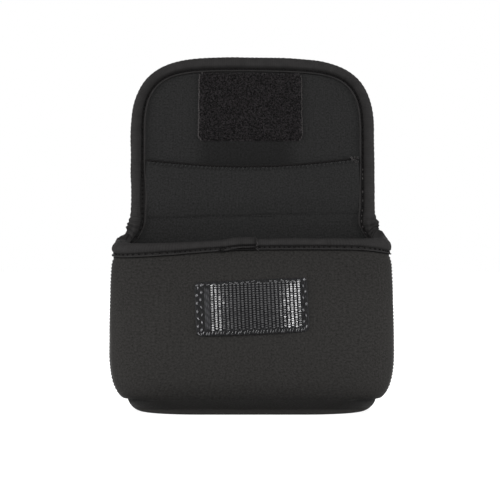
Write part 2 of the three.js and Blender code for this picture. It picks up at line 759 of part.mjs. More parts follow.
// The belt loop lies along the back's own slope.
const beltPlace = new THREE.Group();
const backSlope = Math.atan2(FLOOR_BACK - MOUTH_BACK, backTop - SEAM_HEIGHT);
beltPlace.position.set(0, wallSection(BELT_LOOP_HEIGHT).back, BELT_LOOP_HEIGHT);
beltPlace.rotation.x = backSlope;
add(beltPlace, "belt_loop", beltLoop(), WEBBING);
for (const [end, hand] of [
  ["bottom", -1],
  ["top", 1],
]) {
  add(beltPlace, `belt_loop_thread_${end}`, beltLoopThread(hand), THREAD);
}
pouch.add(beltPlace);

add(pouch, "crease_strip", creaseStrip(), NEOPRENE);
for (const [side, hand] of HANDS) {
  add(pouch, `crease_binding_${side}`, creaseBinding(hand), BINDING);
}

const flap = new THREE.Group();
flap.position.set(0, creaseY, CREASE_HEIGHT);
flap.rotation.x = -FLAP_LEAN;
add(flap, "flap_cover", flapPanel(coverFrom, coverTo), NEOPRENE);
add(flap, "fold_strip", flapPanel(coverTo + GAP, tipFrom - GAP), NEOPRENE);
add(flap, "flap_tip", flapPanel(tipFrom, FLAP_LENGTH), NEOPRENE);
add(flap, "flap_pocket", pocketSheet(), LINING);
add(flap, "pocket_hem_thread", pocketThread((x) => pocketHem(x) - HEM_INSET), THREAD);
add(flap, "pocket_foot_thread", pocketThread(() => pocketFoot + HEM_INSET), THREAD);
add(flap, "loop_tape", loopTape(), LOOP_PILE);
add(flap, "loop_tape_thread", loopThread(), THREAD);

const sideEdges = { cover: flapEdge(coverFrom, coverTo), fold: flapEdge(coverTo + GAP, tipFrom - GAP) };
for (const [stretch, edge] of Object.entries(sideEdges)) {
  for (const [side, hand] of HANDS) {
    const handed = hand > 0 ? edge : mirrored(edge);
    add(flap, `${stretch}_binding_${side}`, flapBinding(handed), BINDING);
    if (stretch === "cover") {
      const thread = bindingThread(FLAP_BINDING, -1, flapFrames(handed));
      add(flap, `cover_binding_thread_${side}`, thread, THREAD);
    }
  }
}
const tipEdge = flapOutline(tipFrom, FLAP_LENGTH);
add(flap, "tip_binding", flapBinding(tipEdge), BINDING);
add(flap, "tip_binding_thread", bindingThread(FLAP_BINDING, -1, flapFrames(tipEdge)), THREAD);
pouch.add(flap);

export default pouch;
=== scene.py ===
"""Lens pouch: a soft neoprene pouch that stands with its flap open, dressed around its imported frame."""

import bisect
import math
import random

import bpy
import numpy as np
from bpy.props import FloatProperty, FloatVectorProperty, IntProperty, PointerProperty
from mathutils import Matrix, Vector, noise


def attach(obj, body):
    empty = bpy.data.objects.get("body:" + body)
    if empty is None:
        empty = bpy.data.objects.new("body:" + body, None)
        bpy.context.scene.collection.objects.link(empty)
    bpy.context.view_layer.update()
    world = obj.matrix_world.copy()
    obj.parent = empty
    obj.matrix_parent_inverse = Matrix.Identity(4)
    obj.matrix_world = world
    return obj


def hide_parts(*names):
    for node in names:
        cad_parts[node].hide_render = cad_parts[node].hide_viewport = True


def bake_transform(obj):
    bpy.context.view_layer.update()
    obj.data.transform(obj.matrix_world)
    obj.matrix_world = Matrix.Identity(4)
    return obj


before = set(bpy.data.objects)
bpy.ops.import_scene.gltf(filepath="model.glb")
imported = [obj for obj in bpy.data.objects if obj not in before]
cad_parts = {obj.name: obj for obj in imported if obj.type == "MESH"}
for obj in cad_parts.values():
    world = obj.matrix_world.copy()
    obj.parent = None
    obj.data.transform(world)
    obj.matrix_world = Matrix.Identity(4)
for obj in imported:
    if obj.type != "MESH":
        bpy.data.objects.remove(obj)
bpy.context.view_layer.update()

bl_info = {
    "name": "Lens Pouch",
    "version": (1, 0, 0),
    "blender": (4, 5, 0),
    "location": "View3D > Sidebar > Lens Pouch",
    "description": "Dresses the packed frame of a soft lens pouch",
    "category": "Add Mesh",
}

MM = 0.001

# Lengths are in millimetres. A name that ends in RAMP holds where a soft step starts and where it is full,
# and one that ends in HUMP the middle of a soft hump and its spread.

# Sheet and body
WALL = 3.5
HALF_WALL = WALL / 2
BODY_HALF = 65.35
BELLY_HEIGHT = 31.5
TUCK = 12.0
TUCK_RADIUS = 26.0
TUCK_POWER = 2.8
UPPER_TAPER = 1.7
UPPER_RUN = 40.0
UPPER_POWER = 2.2
GATHER = 1.4
GATHER_FROM = 66.0
GATHER_RUN = 8.7
BELLY_FRONT = 20.3
MOUTH_FRONT = 12.0
FRONT_BELLY = 27.0
FRONT_RUN = 47.7
FRONT_BEND = 0.12
# How far the front has rolled under at a height: down to a soft crease, then out to the base's thin rim
FRONT_ROLL = (
    (0.0, 7.3),
    (0.15, 6.95),
    (0.4, 6.8),
    (0.75, 7.0),
    (1.15, 7.6),
    (1.6, 8.35),
    (2.1, 8.6),
    (2.7, 8.3),
    (3.6, 7.5),
    (5.0, 6.1),
    (6.5, 4.6),
    (8.0, 3.2),
    (10.0, 1.95),
    (12.0, 1.1),
    (15.0, 0.4),
    (20.0, 0.05),
    (27.0, 0.0),
)
MOUTH_BACK = 15.0
FLOOR_BACK = 19.3
CORNER_BACK = 6.1
CORNER_FRONT = 10.0
CORNER_SHARE = 0.9
CORNER_REACH = 28.0
BASE_REACH = 12.0
REACH_RISE = 28.0
SIDE_LEAN = 0.2
MOUTH_HEIGHT = 74.7
# How far the mouth's edge lies above that at a distance to the right of the front's middle
MOUTH_RISE = (
    (-72.0, 2.6),
    (-50.0, 0.2),
    (-30.0, 0.7),
    (-10.0, 2.0),
    (4.0, 2.4),
    (30.0, 2.5),
    (50.0, 2.4),
    (72.0, 3.3),
)
RISE_RUN = 7.0
SWELL_HALF = 56.0
SWELL_FOOT_RAMP = (0.0, 16.0)
SWELL_TOP_RAMP = (MOUTH_HEIGHT - 2.0, MOUTH_HEIGHT - 28.0)
# Stretches of half a level section, the first one of the front, and the points that measure one
STRETCHES = 6
FRONT_CORNER = 4
SECTION_POINTS = 32
# Soft unevenness of the panels: its height, the size of its hills, and a shift to a fresh stretch of noise
UNEVEN = ((0.3, 26, 0), (0.1, 9, 90))
UNEVEN_TOP = 9.0
UNEVEN_FOOT = 8.0

# Spacing of the sheets' columns and rows, closer near the seams
COLUMN = 1.5
BACK_COLUMN = 2.0
FLARE_COLUMN = 0.8
SEAM_COLUMN = 0.5
FRONT_SEAM_ZONE = 6.0
BACK_SEAM_ZONE = 4.0
WALL_ROWS = 170
FLAP_ROW = 0.8
UPPER_FLAP_COLUMNS = 90
UPPER_FLAP_ROWS = 70

# Side seams
SEAM_PITCH = 1.55
SEAM_DRIFT = 1.5
SEAM_DRIFT_SIZE = 5.0
SEAM_RISE = 3.0
SEAM_GROOVE = 0.9
SEAM_GROOVE_SPREAD = 0.8
SEAM_PULL_SPREAD = 4.5
SEAM_DEPTH = 0.85
SEAM_TAPE_HALF = 5.5
SEAM_TAPE_STEP = 0.9
SEAM_TAPE_SKIN = 0.4
SEAM_TAPE_RIDGE = 0.3
SEAM_TAPE_SPREAD = 3
SEAM_TAPE_BELOW = 3

# Base tray
SEAM_HEIGHT = 7.0
BASE_HALF = 56.7
BASE_SIDE_ROLL = 7.5
BASE_CORNER_TOP = 14.5
BASE_CORNER_FOOT = 26.0
BASE_CORNER_DEPTH = 0.92
BASE_BACK = 18.3
BASE_BACK_ROLL = 4.0
RIM_INSET = 0.6
RIM_LIFT = 0.15
BASE_SEAM_DROP = 0.7
BASE_STITCH = 2.2
BASE_STITCH_PROUD = 0.15
FLOOR_DOME = 0.5
# Heights of the tray's rows as angles of its quarter round, and how far in the rows of its floor lie
TRAY_ANGLES = (1, *range(3, 91, 3))
FLOOR_SHARES = (1.0, 0.8, 0.55, 0.3, 0.12)

# Painted shade, from 0 to 1: under the mouth's flange, below the mouth, at the foot, on the tray under the
# overhang, and on the lining below the loop tape
FLANGE_SHADOW_HUMP = (-0.05, 0.6)
MOUTH_SHADE = 0.16
MOUTH_SHADE_REACH = 34.0
FOOT_SHADE = 0.24
CORNER_SHADE = 0.7
TRAY_SHADE = 0.85
CORNER_SHADE_RAMP = (28.0, 48.0)
FOOT_SHADE_RAMP = (10.0, 6.8)
TRAY_SHADE_RAMP = (1.2, 4.5)
SIDE_SHADE_RUN = 9.0
FLAP_SHADE_MIDDLE = -3.0
FLAP_SHADE_RAMP = (28.0, 17.0)
FLAP_SHADE_TOP_RAMP = (39.0, 35.0)

# Flap
CREASE_HEIGHT = 89.6
CREASE_Y = MOUTH_BACK - HALF_WALL
CREASE_HALF = 5.0
BACK_TOP = CREASE_HEIGHT - CREASE_HALF
LEAN = math.radians(15)
FLAP_LENGTH = 80.0
ROOT_HALF = 57.3
SHOULDER_HALF = 58.3
SHOULDER = 43.0
TIP_POWER_ACROSS = 3.95
TIP_POWER_UP = 2.55
TIP_LIFT_LEFT = 0.0045
TIP_DROP_RIGHT = 0.45
FLAP_SHIFT = 0.4
SPLIT = 15.0
FOLD_SPAN = 32.749
FOLD_HALF = 3.2
TIP_POINTS = 400
HOLLOW_DEPTH = 2.2
HOLLOW_HUMP = (25.0, 8.0)
HOLLOW_SPREAD = 30.0
HOLLOW_RAMP = (5.0, 13.0)

# Edge binding: how far it covers the edge, and the widths of its roll, flange and groove
COVER = 1.3
FLAP_ROLL = 5.2
TIP_ROLL = 6.2
FLAP_FLANGE = 0.8
MOUTH_ROLL = 3.3
CORNER_ROLL_LEFT = 5.0
CORNER_ROLL_RIGHT = 6.0
MOUTH_FLANGE = 0.6
BIND_GROOVE = 1.2
SIDE_GROOVE_LEFT = 1.5
SIDE_GROOVE_RIGHT = 0.5
FOOT_GROOVE_LEFT = 1.3
FOOT_ROLL_RIGHT = 1.7
# Where these widths change, by the height above the floor or by the distance from a middle
SLACK_HUMP = (98.0, 10.0)
SLACK_ROLL = 0.4
TIP_ROLL_RAMP = (56.0, 20.0)
FLAP_BINDING_RAMP = (77.0, 91.0)
FOOT_RAMP = (72.0, 64.0)
FOOT_GROOVE_HUMP = (76.0, 4.0)
CORNER_RAMP_RIGHT = (40.0, 66.0)
CORNER_RAMP_LEFT = (-20.0, -65.0)
# Gathers of the tape
PUCKER_PITCH = 2.3
PUCKER_LEVEL = 0.6
PUCKER_DRIFT = 1.2
PUCKER_DRIFT_SIZE = 6
PUCKER_UNEVEN = 0.6
PUCKER_UNEVEN_SIZE = 4
PUCKER_SHADOW = 0.35
EDGE_PUCKER = 0.13
# The flare, where the edge turns from the flap's side into the mouth's
FLARE_TOP = 4.9
FLARE_FOOT = 71.0
FLARE_STEPS = 80
FLARE_HUMP = (83.0, 6.0)
FLARE_RAMP = (72.0, 62.0)
FLARE_RAMP_LEFT = (77.0, 84.0)
FLARE_RAMP_RIGHT = (80.0, 86.0)
FLARE_BULGE_LEFT = 1.0
FLARE_PINCH_LEFT = -3.6
FLARE_BULGE_RIGHT = 2.9
FLARE_PINCH_RIGHT = 0.9
# Unevenness and fullness of the roll
CREST_UNEVEN = 0.22
ROLL_UNEVEN = 0.08
ROLL_UNEVEN_SIZE = 11
ROLL_PUCKER = 0.22
FLANGE_UNEVEN = 0.15
FLANGE_UNEVEN_SIZE = 7
SIDE_DIP_LEFT = 0.45
SIDE_DIP_HUMP = (99.0, 8.0)
SIDE_FULL = 0.14
SIDE_FULL_RAMP = (54.0, 62.0)
SIDE_FULL_TOP_RAMP = (81.0, 77.0)
EDGE_STEP = 0.55
SIDE_POINTS = 2
# How dark the tape is at each control point of its side: in the groove, under the flange, beside the roll
FLAP_SHADOW = (0.7, 0.8, 0.35, 0.05, 0.5, 1.0, 1.0, 0.85, 0.5, 0.2, 0.08, 0.1, 0.3)
MOUTH_SHADOW = (1.0, 1.0, 0.6, 0.0, 0.0, 0.1, 0.1, 0.1, 0.05, 0.0, 0.0, 0.35, 0.8)
WIDE_SHADOW = 0.6
SHADOW_RAMP = (78.0, 86.0)
TIP_SHADOW = 0.2
TIP_SHADOW_RAMP = (52.0, 38.0)
TIP_SHADOW_FROM = 16
# The slot that the sheet lies in
SLOT_GAP = 0.03
SLOT_TOP = 0.2
# Stitches, and the heights between which pale thread paints their highlights on the right
STITCH_HIGHLIGHT_FROM = 80.0
STITCH_HIGHLIGHT_TO = 113.0
STITCH_HIGHLIGHT_SHARE = 0.85
STITCH_FACE = 2.25
STITCH_SINK = (0, 0.15)
STITCH_LENGTHS = (0.5, 1.0)
# Where along the mouth the binding's end is lapped over its start
LAP_START = -13.4
LAP_END = 2.4
# The lap's thickness from its start on, and how far it stands out from its foot to its crest
LAP_SKIN = (0.1, 0.55)
LAP_SKIN_SHARE = 0.4
LAP_RISE = (1.25, 0.15)
LAP_RISE_SHARE = 0.6
LAP_UNDER = 0.04
LAP_END_SHADOW = 0.7
# Loose fibres at the lap's foot: how far they stray, and the spans of their directions
LAP_FIBRES = 14
FRAY_UP = (-0.5, 0.4)
FRAY_FACE = 2.6
FRAY_ACROSS = (-1.2, 2.6)
FRAY_TURNS = ((-1, 1), (-0.5, 0.1), (-0.6, 0.6))
# Knots that tack the lap's cut end down
TACK_POINTS = slice(6, 24)
TACK_PROUD = 0.3
TACK_STRAY = (-0.5, 0.5)
TACK_OUT = (0.4, 0, 0)
TACK_FACES = (0.3, -1, 0.3)

# Hook and loop tapes
HOOK_HEIGHT = 48.2
FRONT_SLOPE = math.atan2(BELLY_FRONT - MOUTH_FRONT, FRONT_RUN)
HOOK_TILT = math.radians(2.5)
TAPE_HALF = 25.0
HOOK_BOW = 0.7
HOOK_RISE = 12.0
TAPE_CORNER = 2.8
LOOP_SHIFT = -1.0
LOOP_FROM = 36.2
LOOP_TO = 71.2
# Height of the tape's face over what it is sewn to, lower at its edges
TAPE_FACE = 0.6
TAPE_EDGE_DROP = 0.3
TAPE_EDGE_RUN = 0.6
# The hook tape's smooth strip at the left and its field of hooks, across and towards the ends
STRIP_LIFT = 0.4
STRIP_LEFT_RAMP = (-20.8, -20.2)
STRIP_RIGHT_RAMP = (-17.7, -18.3)
STRIP_END_RAMP = (HOOK_RISE - 2.4, HOOK_RISE - 3.6)
FIELD_LEFT_RAMP = (-17.7, -17.2)
FIELD_RIGHT_RAMP = (21.6, 21.1)
FIELD_END_RAMP = (HOOK_RISE - 2.0, HOOK_RISE - 2.5)
HOOKS_LEFT = -17.2
HOOKS_RIGHT = 20.9
HOOKS_LOW = 2.6 - HOOK_RISE
HOOKS_HIGH = HOOK_RISE - 2.0
HOOK_SWAY = 0.012
HOOK_TIP = 0.05
# One hook from the side, as shares of its reach upwards, and its section
HOOK_PATH = ((-0.54, -0.1), (-0.54, 0.8), (-0.42, 1.0), (0.42, 1.0), (0.54, 0.74))
HOOK_SECTION = ((0.4, 0.0), (0.31, 0.16), (-0.31, 0.16), (-0.4, 0.0), (-0.31, -0.16), (0.31, -0.16))
# The frame of stitches round the tape
FRAME_ACROSS = TAPE_HALF - 1.3
FRAME_UP = HOOK_RISE - 1.1
FRAME_FACE = 0.7
# The loop tape's face: a cord along its sides and the felt between
LOOP_FACE = 0.5
LOOP_CORD = 0.25
LOOP_CORD_HUMP = (TAPE_HALF - 0.45, 0.4)
FELT_RISE = 0.35
FELT_RAMP = (0.7, 1.5)
FELT_UNEVEN = 0.12
FELT_UNEVEN_SIZE = 1.6
# Its stitches: spacing, inset, how stout they are at the left and right, and how far they stray
LOOP_STITCH = 1.2
LOOP_STITCH_INSET = 0.35
LOOP_STITCH_SIDES = ((-1, 1.0), (1, 0.6))
LOOP_STITCH_STRAY = (-0.15, 0.15)
LOOP_STITCH_DRIFT = (-0.2, 0.2)
LOOP_STITCH_STOUT = (0.7, 1.1)
# One loop of the pile, the height at which it starts, the margins without pile, and the loops' spans
PILE_RADIUS = 0.17
PILE_RINGS = 6
PILE_SIDES = 4
PILE_HALF = 0.45
PILE_SHARE = 0.75
PILE_FACE = 0.8
PILE_SIDE_MARGIN = 0.9
PILE_END_MARGIN = 0.6
PILE_SIZES = (0.7, 1.25)
PILE_RISES = (0.6, 1.0)

# Flap pocket: its outline, how far its face stands off the flap, its seam and its hem
POCKET_HALF = 50.2
POCKET_SIDE_LEFT = 25.9
POCKET_SIDE_RIGHT = 26.9
POCKET_SIDE_POWER = 6
POCKET_DIP = 4.0
POCKET_FOOT = -0.75
POCKET_FOOT_RISE = 0.029
POCKET_SEAM = 0.6
POCKET_PROUD = 0.25
POCKET_SKIN = 1.2
POCKET_SOLID = 0.8
POCKET_FULL = 0.35
POCKET_FOLLOW = 0.85
POCKET_UNEVEN = 0.12
POCKET_UNEVEN_SIZE = 9
POCKET_FOOT_SPREAD = 0.6
POCKET_FOOT_FADE_RAMP = (12.0, 37.0)
HEM_PITCH = 1.9
HEM_SCALLOP = 0.25
HEM_CORD = 0.45
HEM_STITCH = 0.95
# Loose fibres at the hem's right end
TUFT_FIBRES = 12
TUFT_IN = (0.2, 3.6)
TUFT_UP = (-1.4, 0.9)
TUFT_PROUD = 0.25
TUFT_TURNS = ((-1, 1), (-0.4, 0.1), (-0.9, 0.9))

# Belt loop
BELT_HALF = 19.0
BELT_SKIN = 1.5
BELT_RISE = 29.0
BELT_TAB = 9.0
BELT_BEND = 6.0
BELT_ROOM = 6.0
BELT_HEIGHT = 43.0
BELT_GAP = 0.3
BELT_STEP = 0.8
BELT_SELVEDGE_DROP = 0.35
BELT_END_DROP = 0.5
BELT_SEAM = 1.5
BELT_SIDE_SEAM = 1.6
BELT_STITCH = 2.6
BELT_STITCH_LIFT = 0.08

# Angles in degrees over which edges stay sharp, gaps that are closed, and the shape of a stitch
SMOOTH_ANGLE = 50
FRONT_ANGLE = 28
TAPE_ANGLE = 60
ROUND_ANGLE = 70
HOOK_ANGLE = 25
PILE_ANGLE = 80
JOIN_GAP = 0.02
CLOSE_GAP = 0.002
STITCH_SEGMENTS = 8
STITCH_RINGS = 6
STITCH_POWER = 4
STITCH_FULL = 1.6
TO_VIEWER = (0, -1, 0)

# Camera and lamps: places and sizes in metres, the sensor in millimetres
CAMERA_PLACE = (-0.00078, -0.489, 0.0732)
CAMERA_ANGLE = math.radians(26.27)
SENSOR = 36.0
LAMP_TARGET = (0, 0, 0.08)
# Name, place, size and watts of each lamp
LAMPS = (
    ("left_softbox", (-1.05, -0.25, 0.28), (0.6, 0.6), 8.8),
    ("right_softbox", (1.05, -0.25, 0.28), (0.6, 0.6), 7.7),
    ("front_softbox", (0, -1.2, 0.75), (1.4, 0.8), 2.2),
    ("back_softbox", (0, 1.2, 0.7), (1.2, 0.8), 16.0),
    ("left_strip", (-0.222, -0.97, 0.47), (0.035, 0.7), 1.5),
    ("right_strip", (0.258, -0.97, 0.47), (0.035, 0.7), 2.0),
)


def lerp(start, end, share):
    """The value a share of the way from start to end."""
    return start + (end - start) * share


def clamp01(value):
    """The value held between 0 and 1."""
    return min(max(value, 0.0), 1.0)


def ease(value):
    """0 to 1 with a soft start and end."""
    held = clamp01(value)
    return held * held * (3 - 2 * held)


def bell(value):
    """A soft hump: 1 at 0, falling to nothing on both sides."""
    return math.exp(-value * value)


def spread(start, end, step):
    """Values from start to end, about a step apart."""
    count = max(1, round(abs(end - start) / step))
    return [lerp(start, end, i / count) for i in range(count + 1)]


def ramp(value, start, full):
    """0 to 1 with a soft start and end, from a start to where it is full."""
    return ease((value - start) / (full - start))


def hump(value, middle, spread_out):
    """A soft hump round a middle."""
    return bell((value - middle) / spread_out)


def linear(code):
    """An sRGB hex colour as linear red, green, blue and alpha."""
    values = [int(code[i : i + 2], 16) / 255 for i in (1, 3, 5)]
    return (*[v / 12.92 if v <= 0.04045 else ((v + 0.055) / 1.055) ** 2.4 for v in values], 1.0)


def length_setting(name, description, default):
    """A length that a user may change, in metres."""
    return FloatProperty(name=name, description=description, default=default, unit="LENGTH")


def colour_setting(name, description, code):
    """A colour that a user may change, from its sRGB hex code."""
    return FloatVectorProperty(
        name=name, description=description, default=linear(code), size=4, subtype="COLOR"
    )


class LensPouchSizes(bpy.types.PropertyGroup):
    """Sizes that change how the pouch is sewn."""

    stitch: length_setting("Stitch", "Length of one stitch with its gap", 0.0024)
    thread: length_setting("Thread", "Radius of the sewing thread", 0.0003)
    edge_pucker: length_setting("Edge pucker", "Bumps of the binding at the flap's foot", 0.0008)
    seam_pucker: length_setting("Seam pucker", "Dimples along the side seams", 0.00045)
    swell: length_setting("Swell", "How far the front swells in its middle", 0.0026)
    pocket_gap: length_setting("Pocket gap", "How far the pocket's hem stands off the flap", 0.0007)
    hook_rows: IntProperty(
        name="Hook rows", description="Rows of hooks on the hook tape", default=24, min=2
    )
    hook_pitch: length_setting("Hook pitch", "Spacing of the hooks in a row", 0.001)
    hook_reach: length_setting("Hook reach", "Height of the hooks above the tape", 0.0009)
    pile_loops: IntProperty(
        name="Pile loops", description="Loops in the pile of the loop tape", default=2600, min=10
    )
    pile_reach: length_setting("Pile reach", "Height of the pile above the tape", 0.0011)


class LensPouchColours(bpy.types.PropertyGroup):
    """Colours of the pouch's materials."""

    neoprene: colour_setting("Neoprene", "Jersey face of the body", "#333231")
    lining: colour_setting("Lining", "Jersey inside the flap and pouch", "#2a2a2a")
    binding: colour_setting("Binding", "Stretch binding tape", "#323131")
    hooks: colour_setting("Hooks", "Nylon hooks", "#252527")
    nylon: colour_setting("Nylon", "Thread round the hook tape", "#48484a")
    tape: colour_setting("Tape", "Woven ground of both tapes", "#363638")
    pile: colour_setting("Pile", "Brushed loops", "#191718")
    thread: colour_setting("Thread", "Sewing thread", "#131212")
    selvedge: colour_setting("Selvedge", "Thread at the loop tape's edges", "#3e3c3c")
    webbing: colour_setting("Webbing", "Belt loop", "#252525")


def smooth_line(points, each):
    """A soft curve through control points, with a few points on each span."""
    line = []
    for i in range(len(points) - 1):
        a = points[max(i - 1, 0)]
        b = points[i]
        c = points[i + 1]
        d = points[min(i + 2, len(points) - 1)]
        for k in range(each):
            t = k / each
            line.append(
                tuple(
                    0.5
                    * (
                        2 * b[m]
                        + (c[m] - a[m]) * t
                        + (2 * a[m] - 5 * b[m] + 4 * c[m] - d[m]) * t * t
                        + (3 * b[m] - a[m] - 3 * c[m] + d[m]) * t**3
                    )
                    for m in (0, 1)
                )
            )
    line.append(points[-1])
    return line


# The pouch's sheet. Its places are told by the distance round it from the middle of the back, right
# positive, and by the height up it, which goes on along the flap above the back wall.


def roll_in(depth, radius):
    """How far a quarter round has come in at a depth below its start, as a share."""
    return 1 - math.sqrt(1 - clamp01(depth / radius) ** 2)


def body_half(z):
    """Half of the body's width at a height, out to the side seams."""
    above = max(z - BELLY_HEIGHT, 0.0) / UPPER_RUN
    below = clamp01((BELLY_HEIGHT - z) / TUCK_RADIUS)
    tuck = TUCK * (1 - (1 - below**TUCK_POWER) ** (1 / TUCK_POWER))
    gather = GATHER * ease((z - GATHER_FROM) / GATHER_RUN)
    return BODY_HALF - UPPER_TAPER * above**UPPER_POWER - tuck - gather


ROLL_LINE = smooth_line(FRONT_ROLL, each=8)
ROLL_HEIGHTS = [height for height, depth in ROLL_LINE]
ROLL_DEPTHS = [depth for height, depth in ROLL_LINE]


def body_front(z):
    """Side seams to the front face at a height."""
    height = (z - FRONT_BELLY) / FRONT_RUN
    rise = (height + math.hypot(height, FRONT_BEND)) / 2
    return lerp(BELLY_FRONT, MOUTH_FRONT, rise) - float(np.interp(z, ROLL_HEIGHTS, ROLL_DEPTHS))


def body_back(z):
    """Side seams to the back face at a height."""
    return lerp(FLOOR_BACK, MOUTH_BACK, (z - SEAM_HEIGHT) / (BACK_TOP - SEAM_HEIGHT))


def corner_reach(z):
    """Width of the front's rounded corners at a height, tighter at the base."""
    return lerp(BASE_REACH, CORNER_REACH, ease(z / REACH_RISE))


def corner_depth(front):
    """Depth of the front's rounded corners where the front lies this far before the side seams."""
    return min(CORNER_FRONT, CORNER_SHARE * front)


def wall_section(z):
    """Half width, front, back, and the front corner's width and depth, of the wall at a height."""
    front = body_front(z)
    return body_half(z), front, body_back(z), corner_reach(z), corner_depth(front)


def base_section(z):
    """Half width, front, back, and the front corner's width and depth, of the base tray at a height."""
    rolled = roll_in(SEAM_HEIGHT - z, SEAM_HEIGHT)
    front = body_front(z)
    return (
        BASE_HALF - BASE_SIDE_ROLL * rolled,
        front,
        BASE_BACK - BASE_BACK_ROLL * rolled,
        lerp(BASE_CORNER_FOOT, BASE_CORNER_TOP, z / SEAM_HEIGHT),
        lerp(BASE_CORNER_DEPTH * front, corner_depth(front), ease(z / SEAM_HEIGHT)),
    )


def level_point(section, stretch, share, inset):
    """A point of half a level section. Its stretches 0 to 5 are the flat back, the back corner, the side
    behind the seam, the side before it, the front corner and the flat front."""
    half, front, back, reach, depth = section
    turn = share * math.pi / 2
    lean = SIDE_LEAN * (front - depth)
    if stretch == 0:
        return share * (half - CORNER_BACK), back - inset
    if stretch == 1:
        radius = CORNER_BACK - inset
        return half - CORNER_BACK + radius * math.sin(turn), back - CORNER_BACK + radius * math.cos(turn)
    if stretch == 2:
        return half - inset, (back - CORNER_BACK) * (1 - share)
    if stretch == 3:
        return half - inset - lean * share * share, -(front - depth) * share
    if stretch == 4:
        across = half - lean - reach + (reach - inset) * math.cos(turn)
        return across, depth - front - (depth - inset) * math.sin(turn)
    return (1 - share) * (half - lean - reach), inset - front


def stretch_ends():
    """Distances round the mouth, in the middle of the wall, at which the stretches end."""
    section = wall_section(MOUTH_HEIGHT)
    shares = [i / SECTION_POINTS for i in range(SECTION_POINTS + 1)]
    ends = [0.0]
    for stretch in range(STRETCHES):
        line = [level_point(section, stretch, share, HALF_WALL) for share in shares]
        ends.append(ends[-1] + sum(math.dist(a, b) for a, b in zip(line, line[1:])))
    return ends


ENDS = stretch_ends()
SEAM = ENDS[3]
FRONT_DISTANCE = ENDS[STRETCHES]
FRONT_HALF = FRONT_DISTANCE - SEAM


def place_of(reach):
    """The stretch and the share of it at a distance from the middle of the back."""
    held = min(reach, FRONT_DISTANCE)
    stretch = min(bisect.bisect_right(ENDS, held), STRETCHES) - 1
    return stretch, (held - ENDS[stretch]) / (ENDS[stretch + 1] - ENDS[stretch])


def front_swell(x, z):
    """How far the front stands out beyond its level section, most in the middle of the belly."""
    across = math.cos(clamp01(abs(x) / SWELL_HALF) * math.pi / 2) ** 2
    up = ramp(z, *SWELL_FOOT_RAMP) * ramp(z, *SWELL_TOP_RAMP)
    return bpy.context.scene.lens_pouch_sizes.swell / MM * across * up


def flap_path(s):
    """Middle of the sheet at a distance above the first fold: y, z and its lean."""
    if s >= CREASE_HALF:
        return CREASE_Y + s * math.sin(LEAN), CREASE_HEIGHT + s * math.cos(LEAN), LEAN
    t = clamp01((s + CREASE_HALF) / (2 * CREASE_HALF))
    run = 2 * CREASE_HALF
    fall = -math.atan2(FLOOR_BACK - MOUTH_BACK, BACK_TOP - SEAM_HEIGHT)
    start = (CREASE_Y, BACK_TOP)
    end = (CREASE_Y + CREASE_HALF * math.sin(LEAN), CREASE_HEIGHT + CREASE_HALF * math.cos(LEAN))
    leave = (run * math.sin(fall), run * math.cos(fall))
    arrive = (run * math.sin(LEAN), run * math.cos(LEAN))
    weights = (2 * t**3 - 3 * t**2 + 1, t**3 - 2 * t**2 + t, 3 * t**2 - 2 * t**3, t**3 - t**2)
    slopes = (6 * t**2 - 6 * t, 3 * t**2 - 4 * t + 1, 6 * t - 6 * t**2, 3 * t**2 - 2 * t)
    terms = (start, leave, end, arrive)
    y, z = [sum(w * p[i] for w, p in zip(weights, terms)) for i in (0, 1)]
    run_y, run_z = [sum(w * p[i] for w, p in zip(slopes, terms)) for i in (0, 1)]
    return y, z, math.atan2(run_y, run_z)


def flap_form(u, s):
    """How far the soft flap lies behind its flat shape: a hollow between the loop tape and the pocket."""
    return HOLLOW_DEPTH * hump(s, *HOLLOW_HUMP) * bell(u / HOLLOW_SPREAD) * ramp(s, *HOLLOW_RAMP)


def sheet_point(d, h, n):
    """The point at a distance d round the sheet and a height h, n outside its middle."""
    hand = -1 if d < 0 else 1
    reach = abs(d)
    stretch, share = place_of(reach)
    z = min(h, BACK_TOP)
    x, y = level_point(wall_section(z), stretch, share, HALF_WALL - n)
    if h <= BACK_TOP:
        if stretch >= FRONT_CORNER:
            y -= front_swell(x, z)
        return hand * x, y, h
    s = h - CREASE_HEIGHT
    flat = ease((s + CREASE_HALF) / (2 * CREASE_HALF))
    drop = TIP_LIFT_LEFT * d
    if d > 0:
        drop = TIP_DROP_RIGHT * math.sin(math.pi * clamp01(d / SHOULDER_HALF))
    path_y, path_z, lean = flap_path(s - drop * ramp(s, SHOULDER, FLAP_LENGTH))
    across = lerp(y - CREASE_Y, n, flat) + flap_form(d, s)
    return (
        hand * lerp(x, reach, flat) + FLAP_SHIFT * flat,
        path_y + across * math.cos(lean),
        path_z - across * math.sin(lean),
    )


def front_point(e, z, n):
    """A point of the front, e to the right of its middle, n outside the middle of its wall."""
    d = FRONT_DISTANCE - abs(e)
    return sheet_point(-d if e < 0 else d, z, n)


def wave(point, size):
    """Smooth noise from -1 to 1 at a point in millimetres, with hills about a size apart."""
    return noise.noise(Vector(point) / size)


# The edge that the binding follows, right half, from the middle of the tip to the middle of the front


def flap_half(s):
    """Half width of the neoprene of the flap below its shoulder."""
    return lerp(ROOT_HALF, SHOULDER_HALF, clamp01(s / SHOULDER)) - COVER


def tip_height(u):
    """Top of the neoprene above the first fold at a distance from the flap's middle."""
    across = clamp01(abs(u) / (SHOULDER_HALF - COVER))
    up = (1 - across**TIP_POWER_ACROSS) ** (1 / TIP_POWER_UP)
    return SHOULDER + (FLAP_LENGTH - COVER - SHOULDER) * up


FLARE_POINTS = (
    (flap_half(FLARE_TOP), CREASE_HEIGHT + FLARE_TOP),
    (flap_half(0) + 0.2, 82.0),
    (57.6, 75.6),
    (FLARE_FOOT, MOUTH_HEIGHT),
)


